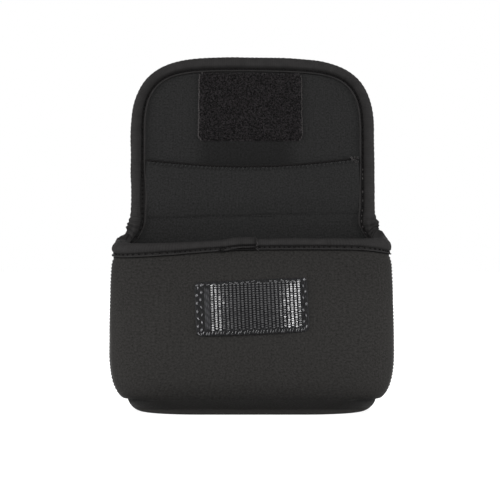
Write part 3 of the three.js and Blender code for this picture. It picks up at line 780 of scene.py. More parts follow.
def flare_point(t):
    """A point of the curve from the flap's side down into the mouth's side."""
    weights = ((1 - t) ** 3, 3 * t * (1 - t) ** 2, 3 * t * t * (1 - t), t**3)
    return tuple(sum(w * p[i] for w, p in zip(weights, FLARE_POINTS)) for i in (0, 1))


FLARE = [flare_point(i / FLARE_STEPS) for i in range(FLARE_STEPS + 1)]
FLARE_REACHES = [reach for reach, h in FLARE]
FLARE_HEIGHTS = [h for reach, h in FLARE]
RISE_LINE = smooth_line(MOUTH_RISE, each=6)
RISE_PLACES = [place for place, up in RISE_LINE]
RISES = [up for place, up in RISE_LINE]


def edge_rise(d):
    """How far the mouth's edge is raised at a distance round from the middle of the back."""
    e = math.copysign(FRONT_DISTANCE - abs(d), d)
    return float(np.interp(e, RISE_PLACES, RISES)) * ease((abs(d) - flap_half(0)) / RISE_RUN)


def mouth_height(d):
    """Height of the neoprene's edge at a distance round from the middle of the back, right positive."""
    if abs(d) >= FLARE_FOOT:
        return MOUTH_HEIGHT + edge_rise(d)
    return float(np.interp(abs(d), FLARE_REACHES, FLARE_HEIGHTS)) + edge_rise(d)


def flare_reach(h):
    """Distance from the middle of the back of the flap's or flare's edge at a height."""
    if h >= CREASE_HEIGHT + FLARE_TOP:
        return flap_half(h - CREASE_HEIGHT)
    above = [p for p in FLARE if p[1] >= h]
    below = [p for p in FLARE if p[1] < h]
    a = above[-1]
    b = below[0]
    return lerp(a[0], b[0], (a[1] - h) / (a[1] - b[1]))


def resample(line, step):
    """Points a step apart along a line of flat points."""
    marks = [0.0]
    for a, b in zip(line, line[1:]):
        marks.append(marks[-1] + math.dist(a, b))
    count = round(marks[-1] / step)
    targets = np.linspace(0, marks[-1], count + 1)
    xs = np.interp(targets, marks, [p[0] for p in line])
    ys = np.interp(targets, marks, [p[1] for p in line])
    return list(zip(xs.tolist(), ys.tolist()))


def upper_edge():
    """The flap's edge from its left side over the tip to its right side, as (u, h)."""
    round_tip = []
    for i in range(TIP_POINTS + 1):
        turn = i / TIP_POINTS * math.pi / 2
        u = (SHOULDER_HALF - COVER) * math.sin(turn) ** (2 / TIP_POWER_ACROSS)
        s = SHOULDER + (FLAP_LENGTH - COVER - SHOULDER) * math.cos(turn) ** (2 / TIP_POWER_UP)
        round_tip.append((u, CREASE_HEIGHT + s))
    side = [(flap_half(s), CREASE_HEIGHT + s) for s in spread(SHOULDER, SPLIT, 1)]
    right = round_tip + side[1:]
    left = [(-u, h) for u, h in reversed(right)]
    return resample(left[:-1] + right, EDGE_STEP)


def lower_edge():
    """The edge from the flap's left side round the front to its right side, as (e, h)."""
    side = [(flap_half(s), CREASE_HEIGHT + s) for s in spread(SPLIT, FLARE_TOP, 1)]
    front = [(d, MOUTH_HEIGHT) for d in spread(FLARE_FOOT, FRONT_DISTANCE, 1)]
    half = side[:-1] + FLARE[:-1] + front
    left = [(d - FRONT_DISTANCE, h + edge_rise(-d)) for d, h in half]
    right = [(FRONT_DISTANCE - d, h + edge_rise(d)) for d, h in reversed(half)]
    return resample(left[:-1] + right, EDGE_STEP)


class EdgeFrame:
    """A place on the bound edge that turns (out from the edge, along the normal) into a point."""

    def __init__(self, point, along, distance, on_flap):
        self.point = point
        self.along = along
        self.distance = distance
        self.on_flap = on_flap

    def reach(self):
        """Distance of the edge from the middle of the back."""
        return abs(self.point[0]) if self.on_flap else FRONT_DISTANCE - abs(self.point[0])

    def flare(self):
        """1 where the edge turns from the flap to the mouth, 0 away from there."""
        if self.on_flap:
            return 0.0
        return hump(self.point[1], *FLARE_HUMP) * ramp(self.reach(), *FLARE_RAMP)

    def at(self, o, n):
        """The point o out from the edge and n along the sheet's normal, in millimetres."""
        across = self.point[0] - o * self.along[1]
        height = self.point[1] + o * self.along[0]
        if self.on_flap:
            return Vector(sheet_point(across, height, n))
        return Vector(front_point(across, height, n))


def edge_frames(line, on_flap):
    """Frames along an edge line."""
    frames = []
    for i, point in enumerate(line):
        before = line[max(i - 1, 0)]
        after = line[min(i + 1, len(line) - 1)]
        length = math.dist(before, after)
        along = ((after[0] - before[0]) / length, (after[1] - before[1]) / length)
        frames.append(EdgeFrame(point, along, i * EDGE_STEP, on_flap))
    return frames


# Making and finishing pieces


def deselect():
    """Leaves object mode with nothing selected."""
    bpy.ops.object.select_all(action="DESELECT")


def activate(piece):
    """Selects one piece alone."""
    deselect()
    piece.select_set(True)
    bpy.context.view_layer.objects.active = piece


def grid_piece(name, columns, rows, place, cloth=None, shadow=None):
    """A sheet: a grid whose points are put where place(column, row) says, in millimetres.
    Its UV map holds the sheet's own flat measures in metres, and its seam attribute how far it is darkened,
    mostly as painted shade."""
    across = len(columns) - 1
    along = len(rows) - 1
    deselect()
    bpy.ops.mesh.primitive_grid_add(x_subdivisions=across, y_subdivisions=along, size=2)
    piece = bpy.context.object
    piece.name = name
    mesh = piece.data
    mesh.name = name
    count = len(mesh.vertices)
    if count != len(columns) * len(rows):
        raise RuntimeError(f"{name}: the grid has {count} points")
    points = np.zeros((count, 3))
    places = np.zeros((count, 2))
    shadows = np.zeros(count)
    for vertex in mesh.vertices:
        column = columns[round((vertex.co.x + 1) / 2 * across)]
        row = rows[round((vertex.co.y + 1) / 2 * along)]
        points[vertex.index] = place(column, row)
        places[vertex.index] = cloth(column, row) if cloth else (column, row)
        if shadow:
            shadows[vertex.index] = shadow(column, row)
    mesh.vertices.foreach_set("co", (points * MM).ravel())
    corners = np.zeros(len(mesh.loops), dtype=np.int32)
    mesh.loops.foreach_get("vertex_index", corners)
    mesh.uv_layers[0].data.foreach_set("uv", (places[corners] * MM).ravel())
    if shadow:
        mesh.attributes.new("seam", "FLOAT", "POINT").data.foreach_set("value", shadows)
    mesh.update()
    return piece


def join(name, pieces):
    """One piece from several, with their shared points merged."""
    deselect()
    for piece in pieces:
        piece.select_set(True)
    bpy.context.view_layer.objects.active = pieces[0]
    bpy.ops.object.join()
    whole = bpy.context.object
    whole.name = name
    whole.data.name = name
    bpy.ops.object.mode_set(mode="EDIT")
    bpy.ops.mesh.select_all(action="SELECT")
    bpy.ops.mesh.remove_doubles(threshold=JOIN_GAP * MM)
    bpy.ops.object.mode_set(mode="OBJECT")
    return whole


def thicken(piece, depth, inner_slots=0, angle=SMOOTH_ANGLE):
    """Gives a sheet its thickness, behind the face that is there."""
    activate(piece)
    bpy.ops.object.modifier_add(type="SOLIDIFY")
    modifier = piece.modifiers[-1]
    modifier.thickness = depth * MM
    modifier.offset = -1
    modifier.use_rim = True
    modifier.material_offset = inner_slots
    modifier.material_offset_rim = inner_slots
    bpy.ops.object.modifier_apply(modifier=modifier.name)
    bpy.ops.object.shade_smooth_by_angle(angle=math.radians(angle))


def swept_piece(name, rings, marks, shadow=None):
    """A closed skin through rings of points, with both ends filled. Marks are the rings' places along it.
    A shadow says how dark it is at a point of a ring."""
    count = len(rings[0])
    girth = [0.0]
    for a, b in zip(rings[0], rings[0][1:] + rings[0][:1]):
        girth.append(girth[-1] + math.dist(a, b))
    piece = grid_piece(
        name,
        list(range(count + 1)),
        list(range(len(rings))),
        lambda column, row: rings[row][column % count],
        lambda column, row: (girth[column], marks[row]),
        (lambda column, row: shadow(column % count, row)) if shadow else None,
    )
    bpy.ops.object.mode_set(mode="EDIT")
    bpy.ops.mesh.select_all(action="SELECT")
    bpy.ops.mesh.remove_doubles(threshold=CLOSE_GAP * MM)
    bpy.ops.mesh.select_all(action="DESELECT")
    bpy.ops.mesh.select_mode(type="EDGE")
    bpy.ops.mesh.select_non_manifold()
    bpy.ops.mesh.fill_holes(sides=0)
    bpy.ops.mesh.select_all(action="SELECT")
    bpy.ops.mesh.normals_make_consistent(inside=False)
    bpy.ops.mesh.select_mode(type="VERT")
    bpy.ops.object.mode_set(mode="OBJECT")
    return piece


def dress(piece, materials, angle=SMOOTH_ANGLE):
    """Gives a piece its materials and smooth faces."""
    piece.data.materials.clear()
    for material in materials:
        piece.data.materials.append(material)
    activate(piece)
    bpy.ops.object.shade_smooth_by_angle(angle=math.radians(angle))


def copies_piece(name, pattern, places, materials, angle=ROUND_ANGLE):
    """One dressed mesh of many copies of a small pattern. A place is (origin, x axis, y axis, z axis), in
    millimetres."""
    shape = np.array([v.co for v in pattern.data.vertices]) / MM
    faces = sorted(list(p.vertices) for p in pattern.data.polygons)
    points = []
    polygons = []
    for k, (origin, x, y, z) in enumerate(places):
        turned = np.outer(shape[:, 0], x) + np.outer(shape[:, 1], y) + np.outer(shape[:, 2], z)
        points.append(turned + np.array(origin))
        polygons.extend([[i + k * len(shape) for i in face] for face in faces])
    mesh = bpy.data.meshes.new(name)
    mesh.from_pydata((np.concatenate(points) * MM).tolist(), [], polygons)
    mesh.update()
    piece = bpy.data.objects.new(name, mesh)
    bpy.context.scene.collection.objects.link(piece)
    dress(piece, materials, angle)
    return piece


def discard(pattern):
    """Removes a pattern that was only there to be copied."""
    bpy.data.objects.remove(pattern)


FIRST_FOLD = [Vector((0, *flap_path(s)[:2])) * MM for s in (-CREASE_HALF, CREASE_HALF)]
SECOND_FOLD = [Vector((0, *flap_path(FOLD_SPAN + s)[:2])) * MM for s in (-FOLD_HALF, FOLD_HALF)]


def bend_at_first_fold(piece):
    """Bakes the piece's place into its points."""
    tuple(FIRST_FOLD[0])
    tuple(FIRST_FOLD[1])
    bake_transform(piece)


def bend_at_second_fold(piece):
    """Bakes the piece's place into its points."""
    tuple(SECOND_FOLD[0])
    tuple(SECOND_FOLD[1])
    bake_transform(piece)


def stitch_pattern(length, radius, dive):
    """One stitch along x: a plump thread whose ends dive into the cloth, z up."""
    deselect()
    bpy.ops.mesh.primitive_uv_sphere_add(segments=STITCH_SEGMENTS, ring_count=STITCH_RINGS, radius=1)
    pattern = bpy.context.object
    for vertex in pattern.data.vertices:
        side, up, along = vertex.co
        end = abs(along) ** STITCH_POWER
        fullness = math.sqrt(max(1 - end, 0.0)) / math.sqrt(max(1 - along * along, 1e-9))
        thick = radius * min(fullness, STITCH_FULL)
        vertex.co = Vector((along * length / 2, side * thick, up * thick - dive * end)) * MM
    return pattern


def place_on(origin, along, up):
    """A copy's place: x along, z up as nearly as square allows."""
    x = Vector(along).normalized()
    y = Vector(up).cross(x).normalized()
    return origin, x, y, x.cross(y)


# Materials


def add_node(tree, kind, settings=None, links=None):
    """Adds a node. Settings name its own properties or its inputs, and links name what feeds its inputs."""
    node = tree.nodes.new(kind)
    for key, value in (settings or {}).items():
        if isinstance(key, int) or key in node.inputs:
            node.inputs[key].default_value = value
        else:
            setattr(node, key, value)
    for key, source in (links or {}).items():
        tree.links.new(source, node.inputs[key])
    return node


def new_material(name):
    """An empty material and its node tree."""
    material = bpy.data.materials.new(name)
    material.use_nodes = True
    return material, material.node_tree


def grain(size):
    """Scale of a noise texture whose grains are a size in millimetres apart."""
    return 1 / (size * MM)


def bands(size):
    """Scale of a wave texture whose bands are a size in millimetres apart."""
    return math.pi / 10 / (size * MM)


def shade(colour, factor):
    """A colour made darker or lighter."""
    return (*[min(c * factor, 1.0) for c in colour[:3]], 1.0)


def cover(tree, colour, shades, tone, gloss, relief=None, darkest=None):
    """Finishes a shader. Its colour lies between two shades of a colour as a tone pattern says, and where
    the seam attribute is 1 only the share darkest of it is left: painted shade on the jersey and the
    binding, and the darker border of the hook tape. Relief is (height pattern, strength, depth
    in millimetres), and gloss holds the shader's own values."""
    shader = tree.nodes["Principled BSDF"]
    dark, light = [shade(colour, factor) for factor in shades]
    mixed = add_node(tree, "ShaderNodeMix", {"data_type": "RGBA", 6: dark, 7: light}, {0: tone})
    if darkest is not None:
        seam = add_node(tree, "ShaderNodeAttribute", {"attribute_name": "seam"})
        mixed = add_node(
            tree,
            "ShaderNodeMix",
            {"data_type": "RGBA", "blend_type": "MULTIPLY", 7: (darkest, darkest, darkest, 1)},
            {0: seam.outputs["Fac"], 6: mixed.outputs[2]},
        )
    tree.links.new(mixed.outputs[2], shader.inputs["Base Color"])
    if relief:
        height, strength, depth = relief
        bump = add_node(
            tree, "ShaderNodeBump", {"Strength": strength, "Distance": depth * MM}, {"Height": height}
        )
        tree.links.new(bump.outputs[0], shader.inputs["Normal"])
    for socket, value in gloss.items():
        shader.inputs[socket].default_value = value


def jersey_neoprene(name, colour, worn=0.2):
    """Neoprene foam faced with fine polyamide jersey: matt, faint ribs and streaks along the knit, a soft
    mottle where the nap lies differently, darker where the seam attribute paints shade, and a sheen of
    fibre ends where it turns away."""
    material, tree = new_material(name)
    cloth = add_node(tree, "ShaderNodeTexCoord").outputs["UV"]
    drawn_out = add_node(
        tree, "ShaderNodeMapping", {"Scale": (grain(1.1), grain(14), 1.0)}, {"Vector": cloth}
    )
    streaks = add_node(
        tree, "ShaderNodeTexNoise", {"Scale": 1.0, "Detail": 3.0}, {"Vector": drawn_out.outputs[0]}
    )
    mottle = add_node(
        tree,
        "ShaderNodeTexNoise",
        {"Scale": grain(0.85), "Detail": 3.0, "Roughness": 0.8},
        {"Vector": cloth},
    )
    # The knit's ribs are about 0.5 mm apart and are drawn at 1 mm, so that they show
    ribs = add_node(
        tree,
        "ShaderNodeTexWave",
        {"Scale": bands(1), "Distortion": 2.0, "Detail": 2.0, "Detail Scale": 2.0},
        {"Vector": cloth},
    )
    streaked, ribbed = [
        add_node(
            tree,
            "ShaderNodeMath",
            {"operation": "MULTIPLY_ADD", 1: 0.12},
            {0: pattern.outputs["Fac"], 2: mottle.outputs["Fac"]},
        )
        for pattern in (streaks, ribs)
    ]
    contrast = add_node(
        tree, "ShaderNodeMapRange", {"From Min": 0.32, "From Max": 0.8}, {"Value": streaked.outputs[0]}
    )
    matt = {"Roughness": 0.95, "Specular IOR Level": 0.02, "Sheen Weight": 0.18, "Sheen Roughness": 0.35}
    cover(
        tree,
        colour,
        shades=(0.5, 1.5),
        tone=contrast.outputs[0],
        relief=(ribbed.outputs[0], 0.5, 0.2),
        darkest=worn,
        gloss=matt,
    )
    return material


def brushed_lining(name, colour):
    """The same jersey inside, with its painted shade darker."""
    return jersey_neoprene(name, colour, worn=0.7)


def stretch_binding(name, colour):
    """Woven stretch tape of polyamide and elastane: smoother than the jersey, a low satin light along the
    roll, and fine cross ribs that open where it is stretched."""
    material, tree = new_material(name)
    cloth = add_node(tree, "ShaderNodeTexCoord").outputs["UV"]
    ribs = add_node(
        tree,
        "ShaderNodeTexWave",
        {"bands_direction": "Y", "Scale": bands(0.9), "Distortion": 1.5, "Detail": 1.0},
        {"Vector": cloth},
    )
    mottle = add_node(
        tree, "ShaderNodeTexNoise", {"Scale": grain(4), "Detail": 5.0, "Roughness": 0.65}, {"Vector": cloth}
    )
    weave = add_node(
        tree,
        "ShaderNodeMath",
        {"operation": "MULTIPLY_ADD", 1: 0.25},
        {0: ribs.outputs["Fac"], 2: mottle.outputs["Fac"]},
    )
    contrast = add_node(
        tree, "ShaderNodeMapRange", {"From Min": 0.35, "From Max": 0.9}, {"Value": weave.outputs[0]}
    )
    satin = {"Roughness": 0.85, "Specular IOR Level": 0.02}
    # The seam attribute paints shade in the groove, under the flange and between the gathers
    cover(
        tree,
        colour,
        shades=(0.8, 1.2),
        tone=contrast.outputs[0],
        relief=(weave.outputs[0], 0.4, 0.15),
        darkest=0.45,
        gloss=satin,
    )
    return material


def hook_nylon(name, colour):
    """Cut loops of nylon monofilament: clear dark plastic with sharp small highlights."""
    material, tree = new_material(name)
    place = add_node(tree, "ShaderNodeTexCoord").outputs["Object"]
    batch = add_node(tree, "ShaderNodeTexNoise", {"Scale": grain(1.5), "Detail": 2.0}, {"Vector": place})
    polish = add_node(
        tree, "ShaderNodeMapRange", {"To Min": 0.09, "To Max": 0.15}, {"Value": batch.outputs["Fac"]}
    )
    tree.links.new(polish.outputs[0], tree.nodes["Principled BSDF"].inputs["Roughness"])
    bright = {"IOR": 1.53, "Specular IOR Level": 0.6}
    cover(tree, colour, shades=(0.6, 1.6), tone=batch.outputs["Fac"], gloss=bright)
    return material


def crossed_bands(tree, cloth, first, second):
    """Two wave patterns multiplied, as the threads of a weave cross."""
    threads = [add_node(tree, "ShaderNodeTexWave", look, {"Vector": cloth}) for look in (first, second)]
    crossed = add_node(
        tree,
        "ShaderNodeMath",
        {"operation": "MULTIPLY"},
        {i: thread.outputs["Fac"] for i, thread in enumerate(threads)},
    )
    return crossed.outputs[0]


def woven_tape(name, colour):
    """Ground of the hook and loop tapes: tight diagonal nylon weave with a slight gloss."""
    material, tree = new_material(name)
    cloth = add_node(tree, "ShaderNodeTexCoord").outputs["UV"]
    # The weave is about 0.4 mm and is drawn at 1.6 and 0.8 mm, so that it shows
    weave = crossed_bands(
        tree,
        cloth,
        {"bands_direction": "DIAGONAL", "Scale": bands(1.6), "Distortion": 1.0},
        {"Scale": bands(0.8), "Distortion": 0.5},
    )
    low_gloss = {"Roughness": 0.6, "Specular IOR Level": 0.15}
    cover(
        tree,
        colour,
        shades=(0.55, 2.0),
        tone=weave,
        relief=(weave, 0.7, 0.2),
        darkest=0.22,
        gloss=low_gloss,
    )
    return material


def brushed_pile(name, colour):
    """Brushed polyamide loops: very dark, matt and tangled, with odd lighter fibres."""
    material, tree = new_material(name)
    place = add_node(tree, "ShaderNodeTexCoord").outputs["Object"]
    turned = add_node(tree, "ShaderNodeMapping", {"Rotation": (0.4, 0.7, 0.2)}, {"Vector": place})
    tufts = add_node(
        tree,
        "ShaderNodeTexNoise",
        {"Scale": grain(0.9), "Detail": 2.0, "Roughness": 0.7},
        {"Vector": turned.outputs[0]},
    ).outputs["Fac"]
    contrast = add_node(tree, "ShaderNodeMapRange", {"From Min": 0.44, "From Max": 0.62}, {"Value": tufts})
    matt = {"Roughness": 0.9, "Specular IOR Level": 0.15, "Sheen Weight": 0.05}
    cover(
        tree,
        colour,
        shades=(0.1, 3.2),
        tone=contrast.outputs[0],
        relief=(tufts, 0.8, 0.4),
        gloss=matt,
    )
    return material


def sewing_thread(name, colour):
    """Spun polyester thread: dark, with a soft light along each stitch and twisted plies."""
    material, tree = new_material(name)
    place = add_node(tree, "ShaderNodeTexCoord").outputs["Object"]
    plies = add_node(
        tree,
        "ShaderNodeTexWave",
        {"bands_direction": "DIAGONAL", "Scale": bands(0.6), "Distortion": 1.0},
        {"Vector": place},
    ).outputs["Fac"]
    soft = {"Roughness": 0.7, "Specular IOR Level": 0.08}
    cover(tree, colour, shades=(0.7, 1.5), tone=plies, relief=(plies, 0.4, 0.1), gloss=soft)
    return material


def belt_webbing(name, colour):
    """Plain woven polypropylene webbing: rows of thick weft bars with a low sheen."""
    material, tree = new_material(name)
    cloth = add_node(tree, "ShaderNodeTexCoord").outputs["UV"]
    weave = crossed_bands(
        tree,
        cloth,
        {"bands_direction": "Y", "Scale": bands(1.3), "Distortion": 0.4},
        {"Scale": bands(1.8), "Distortion": 0.4},
    )
    low_sheen = {"Roughness": 0.7, "Specular IOR Level": 0.25}
    cover(tree, colour, shades=(0.6, 1.5), tone=weave, relief=(weave, 0.8, 0.3), gloss=low_sheen)
    return material


FINISHES = {
    "neoprene": jersey_neoprene,
    "lining": brushed_lining,
    "binding": stretch_binding,
    "hooks": hook_nylon,
    "nylon": hook_nylon,
    "tape": woven_tape,
    "pile": brushed_pile,
    "thread": sewing_thread,
    "selvedge": sewing_thread,
    "webbing": belt_webbing,
}


def finish(part):
    """The material of a kind of part, made when it is first asked for."""
    make = FINISHES[part]
    name = f"{make.__name__}_{part}"
    made = bpy.data.materials.get(name)
    return made or make(name, tuple(getattr(bpy.context.scene.lens_pouch_colours, part)))


# Pieces


def panel_offset(d, h):
    """How far the panel's face lies off its plain place: side seams pulled in, with dimples along them."""
    seam = abs(abs(d) - SEAM)
    pucker = bpy.context.scene.lens_pouch_sizes.seam_pucker / MM
    turn = 2 * math.pi * h / SEAM_PITCH + SEAM_DRIFT * wave((d, 0, h), SEAM_DRIFT_SIZE)
    dimple = pucker * (0.5 - 0.5 * math.cos(turn)) * bell(seam / SEAM_PULL_SPREAD)
    groove = SEAM_GROOVE * bell(seam / SEAM_GROOVE_SPREAD)
    return -ease((h - SEAM_HEIGHT) / SEAM_RISE) * (groove + dimple)


def panel_point(d, h):
    """A point on the outside of the body's panels, with their soft unevenness."""
    x, y, z = sheet_point(d, h, HALF_WALL)
    uneven = sum(rise * wave((x + shift, y, z), size) for rise, size, shift in UNEVEN)
    fade = ease((mouth_height(d) - h) / UNEVEN_TOP) * ease((h - SEAM_HEIGHT) / UNEVEN_FOOT)
    return sheet_point(d, h, HALF_WALL + panel_offset(d, h) + uneven * fade)


def front_columns():
    """Places across the front from seam to seam, closer near the seams."""
    zone = FRONT_HALF - FRONT_SEAM_ZONE
    right = spread(0, zone, COLUMN) + spread(zone, FRONT_HALF, SEAM_COLUMN)[1:]
    return [-e for e in reversed(right[1:])] + right


def back_columns():
    """Places round the back from the right seam to the left one, closer near the seams."""
    edge = flare_reach(BACK_TOP)
    zone = SEAM - BACK_SEAM_ZONE
    right = spread(0, edge, BACK_COLUMN) + spread(edge, zone, FLARE_COLUMN)[1:]
    right += spread(zone, SEAM, SEAM_COLUMN)[1:]
    return list(reversed(right)) + [-d for d in right[1:]]


class LENS_POUCH_OT_front(bpy.types.Operator):
    """Front wall, rolled under without a seam to become the base tray"""

    bl_idname = "lens_pouch.front"
    bl_label = "Front and base"

    def execute(self, context):
        columns = front_columns()

        def around(e):
            return math.copysign(FRONT_DISTANCE - abs(e), e)

        def height(e, v):
            return lerp(SEAM_HEIGHT, mouth_height(around(e)), v)

        # Painted shade at the foot, where the front rolls under and overhangs the tray, more towards the
        # corners
        def foot_soil(e, corner):
            inward = ease((FRONT_HALF - abs(e)) / SIDE_SHADE_RUN)
            return lerp(FOOT_SHADE, corner, ramp(abs(e), *CORNER_SHADE_RAMP)) * inward

        # Painted shade on the front: a dark line under the mouth's flange, a soft shade below the mouth,
        # and the shade at the foot
        def soiled(e, v):
            top = mouth_height(around(e))
            h = height(e, v)
            below = top - h + flange_line(EdgeFrame((e, top), (1, 0), 0, False))
            mouth = MOUTH_SHADE * (1 - ease(below / MOUTH_SHADE_REACH))
            foot = foot_soil(e, CORNER_SHADE) * ramp(h, *FOOT_SHADE_RAMP)
            return max(hump(below, *FLANGE_SHADOW_HUMP), mouth, foot)

        wall = grid_piece(
            "front_wall",
            columns,
            spread(0, 1, 1 / WALL_ROWS),
            lambda e, v: panel_point(around(e), height(e, v)),
            lambda e, v: (e, height(e, v)),
            soiled,
        )
        loop = [around(e) for e in columns] + back_columns()[1:-1] + [around(columns[0])]
        levels = [SEAM_HEIGHT * (1 - math.sin(math.radians(angle))) for angle in reversed(TRAY_ANGLES)]
        rows = [("floor", 0.0, share) for share in FLOOR_SHARES]
        rows += [("side", z, 0.0) for z in levels]
        rows += [("rim", SEAM_HEIGHT, 0.0)]
        middle = (base_section(0)[2] - base_section(0)[1]) / 2

        def tray(d, row):
            kind, z, inward = row
            rim = kind == "rim"
            if rim and abs(d) >= SEAM:
                return panel_point(d, SEAM_HEIGHT)
            stretch, share = place_of(abs(d))
            x, y = level_point(base_section(z), stretch, share, RIM_INSET if rim else 0.0)
            if stretch >= FRONT_CORNER:
                y -= front_swell(x, z)
            lift = RIM_LIFT if rim else FLOOR_DOME * ease(inward)
            return math.copysign(x, d) * (1 - inward), lerp(y, middle, inward), z + lift

        # Painted shade on the tray's upper part, under the wall's overhang, most at the front corners
        def tray_soil(d, z):
            return foot_soil(FRONT_DISTANCE - abs(d), TRAY_SHADE) * ramp(z, *TRAY_SHADE_RAMP)

        base = grid_piece(
            "base_tray",
            list(range(len(loop))),
            list(range(len(rows))),
            lambda i, j: tray(loop[i], rows[j]),
            lambda i, j: (i * COLUMN, j * COLUMN),
            lambda i, j: tray_soil(loop[i], rows[j][1]),
        )
        piece = join("pouch_front", [wall, base])
        dress(piece, [finish("neoprene"), finish("lining")])
        thicken(piece, WALL, inner_slots=1, angle=FRONT_ANGLE)
        # The inside of the thin rim may not come out under the base
        for vertex in piece.data.vertices:
            vertex.co.z = max(vertex.co.z, 0.0)
        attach(piece, "pouch")
        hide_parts("front_panel")
        return {"FINISHED"}


class LENS_POUCH_OT_back(bpy.types.Operator):
    """Back wall and the lower flap, one sheet that bends at the first fold"""

    bl_idname = "lens_pouch.back"
    bl_label = "Back and lower flap"

    def execute(self, context):
        edge = flare_reach(BACK_TOP)
        columns = back_columns()
        inner = [d for d in columns if abs(d) <= edge + CLOSE_GAP]

        def height(d, v):
            return lerp(SEAM_HEIGHT, min(mouth_height(d), BACK_TOP), v)

        def above(d, h):
            return panel_point(d / edge * flare_reach(h), h)

        wall = grid_piece(
            "back_wall",
            columns,
            spread(0, 1, 1 / WALL_ROWS),
            lambda d, v: panel_point(d, height(d, v)),
            lambda d, v: (d, height(d, v)),
        )
        flap = grid_piece("lower_flap", inner, spread(BACK_TOP, CREASE_HEIGHT + SPLIT, FLAP_ROW), above)
        piece = join("pouch_back", [wall, flap])
        dress(piece, [finish("neoprene"), finish("lining")])
        thicken(piece, WALL, inner_slots=1)
        bend_at_first_fold(piece)
        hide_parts("back_panel", "crease_strip", "flap_cover")
        return {"FINISHED"}


class LENS_POUCH_OT_flap(bpy.types.Operator):
    """Upper flap, across which the second fold runs"""

    bl_idname = "lens_pouch.flap"
    bl_label = "Upper flap"

    def execute(self, context):
        turns = spread(math.pi / 2, -math.pi / 2, math.pi / UPPER_FLAP_COLUMNS)
        shares = [math.sin(turn) for turn in turns]

        def place(share, v):
            top = tip_height(share * (SHOULDER_HALF - COVER))
            s = lerp(SPLIT, max(top, SHOULDER), v)
            return share * flap_half(s), s

        def face(share, v):
            u, s = place(share, v)
            return sheet_point(u, CREASE_HEIGHT + s, HALF_WALL)

        # Painted shade on the lining below the loop tape, in the hollow above the pocket
        def worn(share, v):
            u, s = place(share, v)
            return ramp(abs(u - FLAP_SHADE_MIDDLE), *FLAP_SHADE_RAMP) * ramp(s, *FLAP_SHADE_TOP_RAMP)

        piece = grid_piece("flap_tip_panel", shares, spread(0, 1, 1 / UPPER_FLAP_ROWS), face, place, worn)
        dress(piece, [finish("neoprene"), finish("lining")])
        outside = len(piece.data.vertices)
        thicken(piece, WALL, inner_slots=1)
        # Only the inside gets the painted shade
        for point in piece.data.attributes["seam"].data[:outside]:
            point.value = 0.0
        bend_at_second_fold(piece)
        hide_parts("fold_strip", "flap_tip")
        return {"FINISHED"}


def binding_sizes(edge):
    """Width of the binding's roll, groove and flange at a place on the edge."""
    across, height = edge.point
    right = across > 0
    slack = hump(height, *SLACK_HUMP) * (SIDE_GROOVE_RIGHT if right else SIDE_GROOVE_LEFT)
    if edge.on_flap:
        roll = lerp(FLAP_ROLL, TIP_ROLL, ramp(abs(across), *TIP_ROLL_RAMP))
        return roll - SLACK_ROLL * slack, BIND_GROOVE + slack, FLAP_FLANGE
    up = ramp(height, *FLAP_BINDING_RAMP)
    foot = ramp(edge.reach(), *FOOT_RAMP)
    if right:
        corner_roll = lerp(MOUTH_ROLL, CORNER_ROLL_RIGHT, ramp(across, *CORNER_RAMP_RIGHT))
        corner_roll -= FOOT_ROLL_RIGHT * foot
    else:
        corner_roll = lerp(MOUTH_ROLL, CORNER_ROLL_LEFT, ramp(across, *CORNER_RAMP_LEFT))
        slack += FOOT_GROOVE_LEFT * hump(height, *FOOT_GROOVE_HUMP) * foot
    roll = lerp(corner_roll, FLAP_ROLL, up) - SLACK_ROLL * slack
    return roll, BIND_GROOVE + slack, lerp(MOUTH_FLANGE, FLAP_FLANGE, up)


def stitch_line(edge):
    """How far in from the edge the binding is stitched."""
    roll, groove, _ = binding_sizes(edge)
    return COVER - roll - groove / 2


def flange_line(edge):
    """How far in from the edge the binding's flange ends."""
    return COVER - sum(binding_sizes(edge))


def gather(edge):
    """How far a gather of the tape stands up at a place on the edge, from about -0.6 to 0.4."""
    phase = edge.distance + PUCKER_DRIFT * wave((edge.distance, 21, 5), PUCKER_DRIFT_SIZE)
    bump = abs(math.sin(math.pi * phase / PUCKER_PITCH)) - PUCKER_LEVEL
    return bump * (1 + PUCKER_UNEVEN * wave((edge.distance, 60, 2), PUCKER_UNEVEN_SIZE))


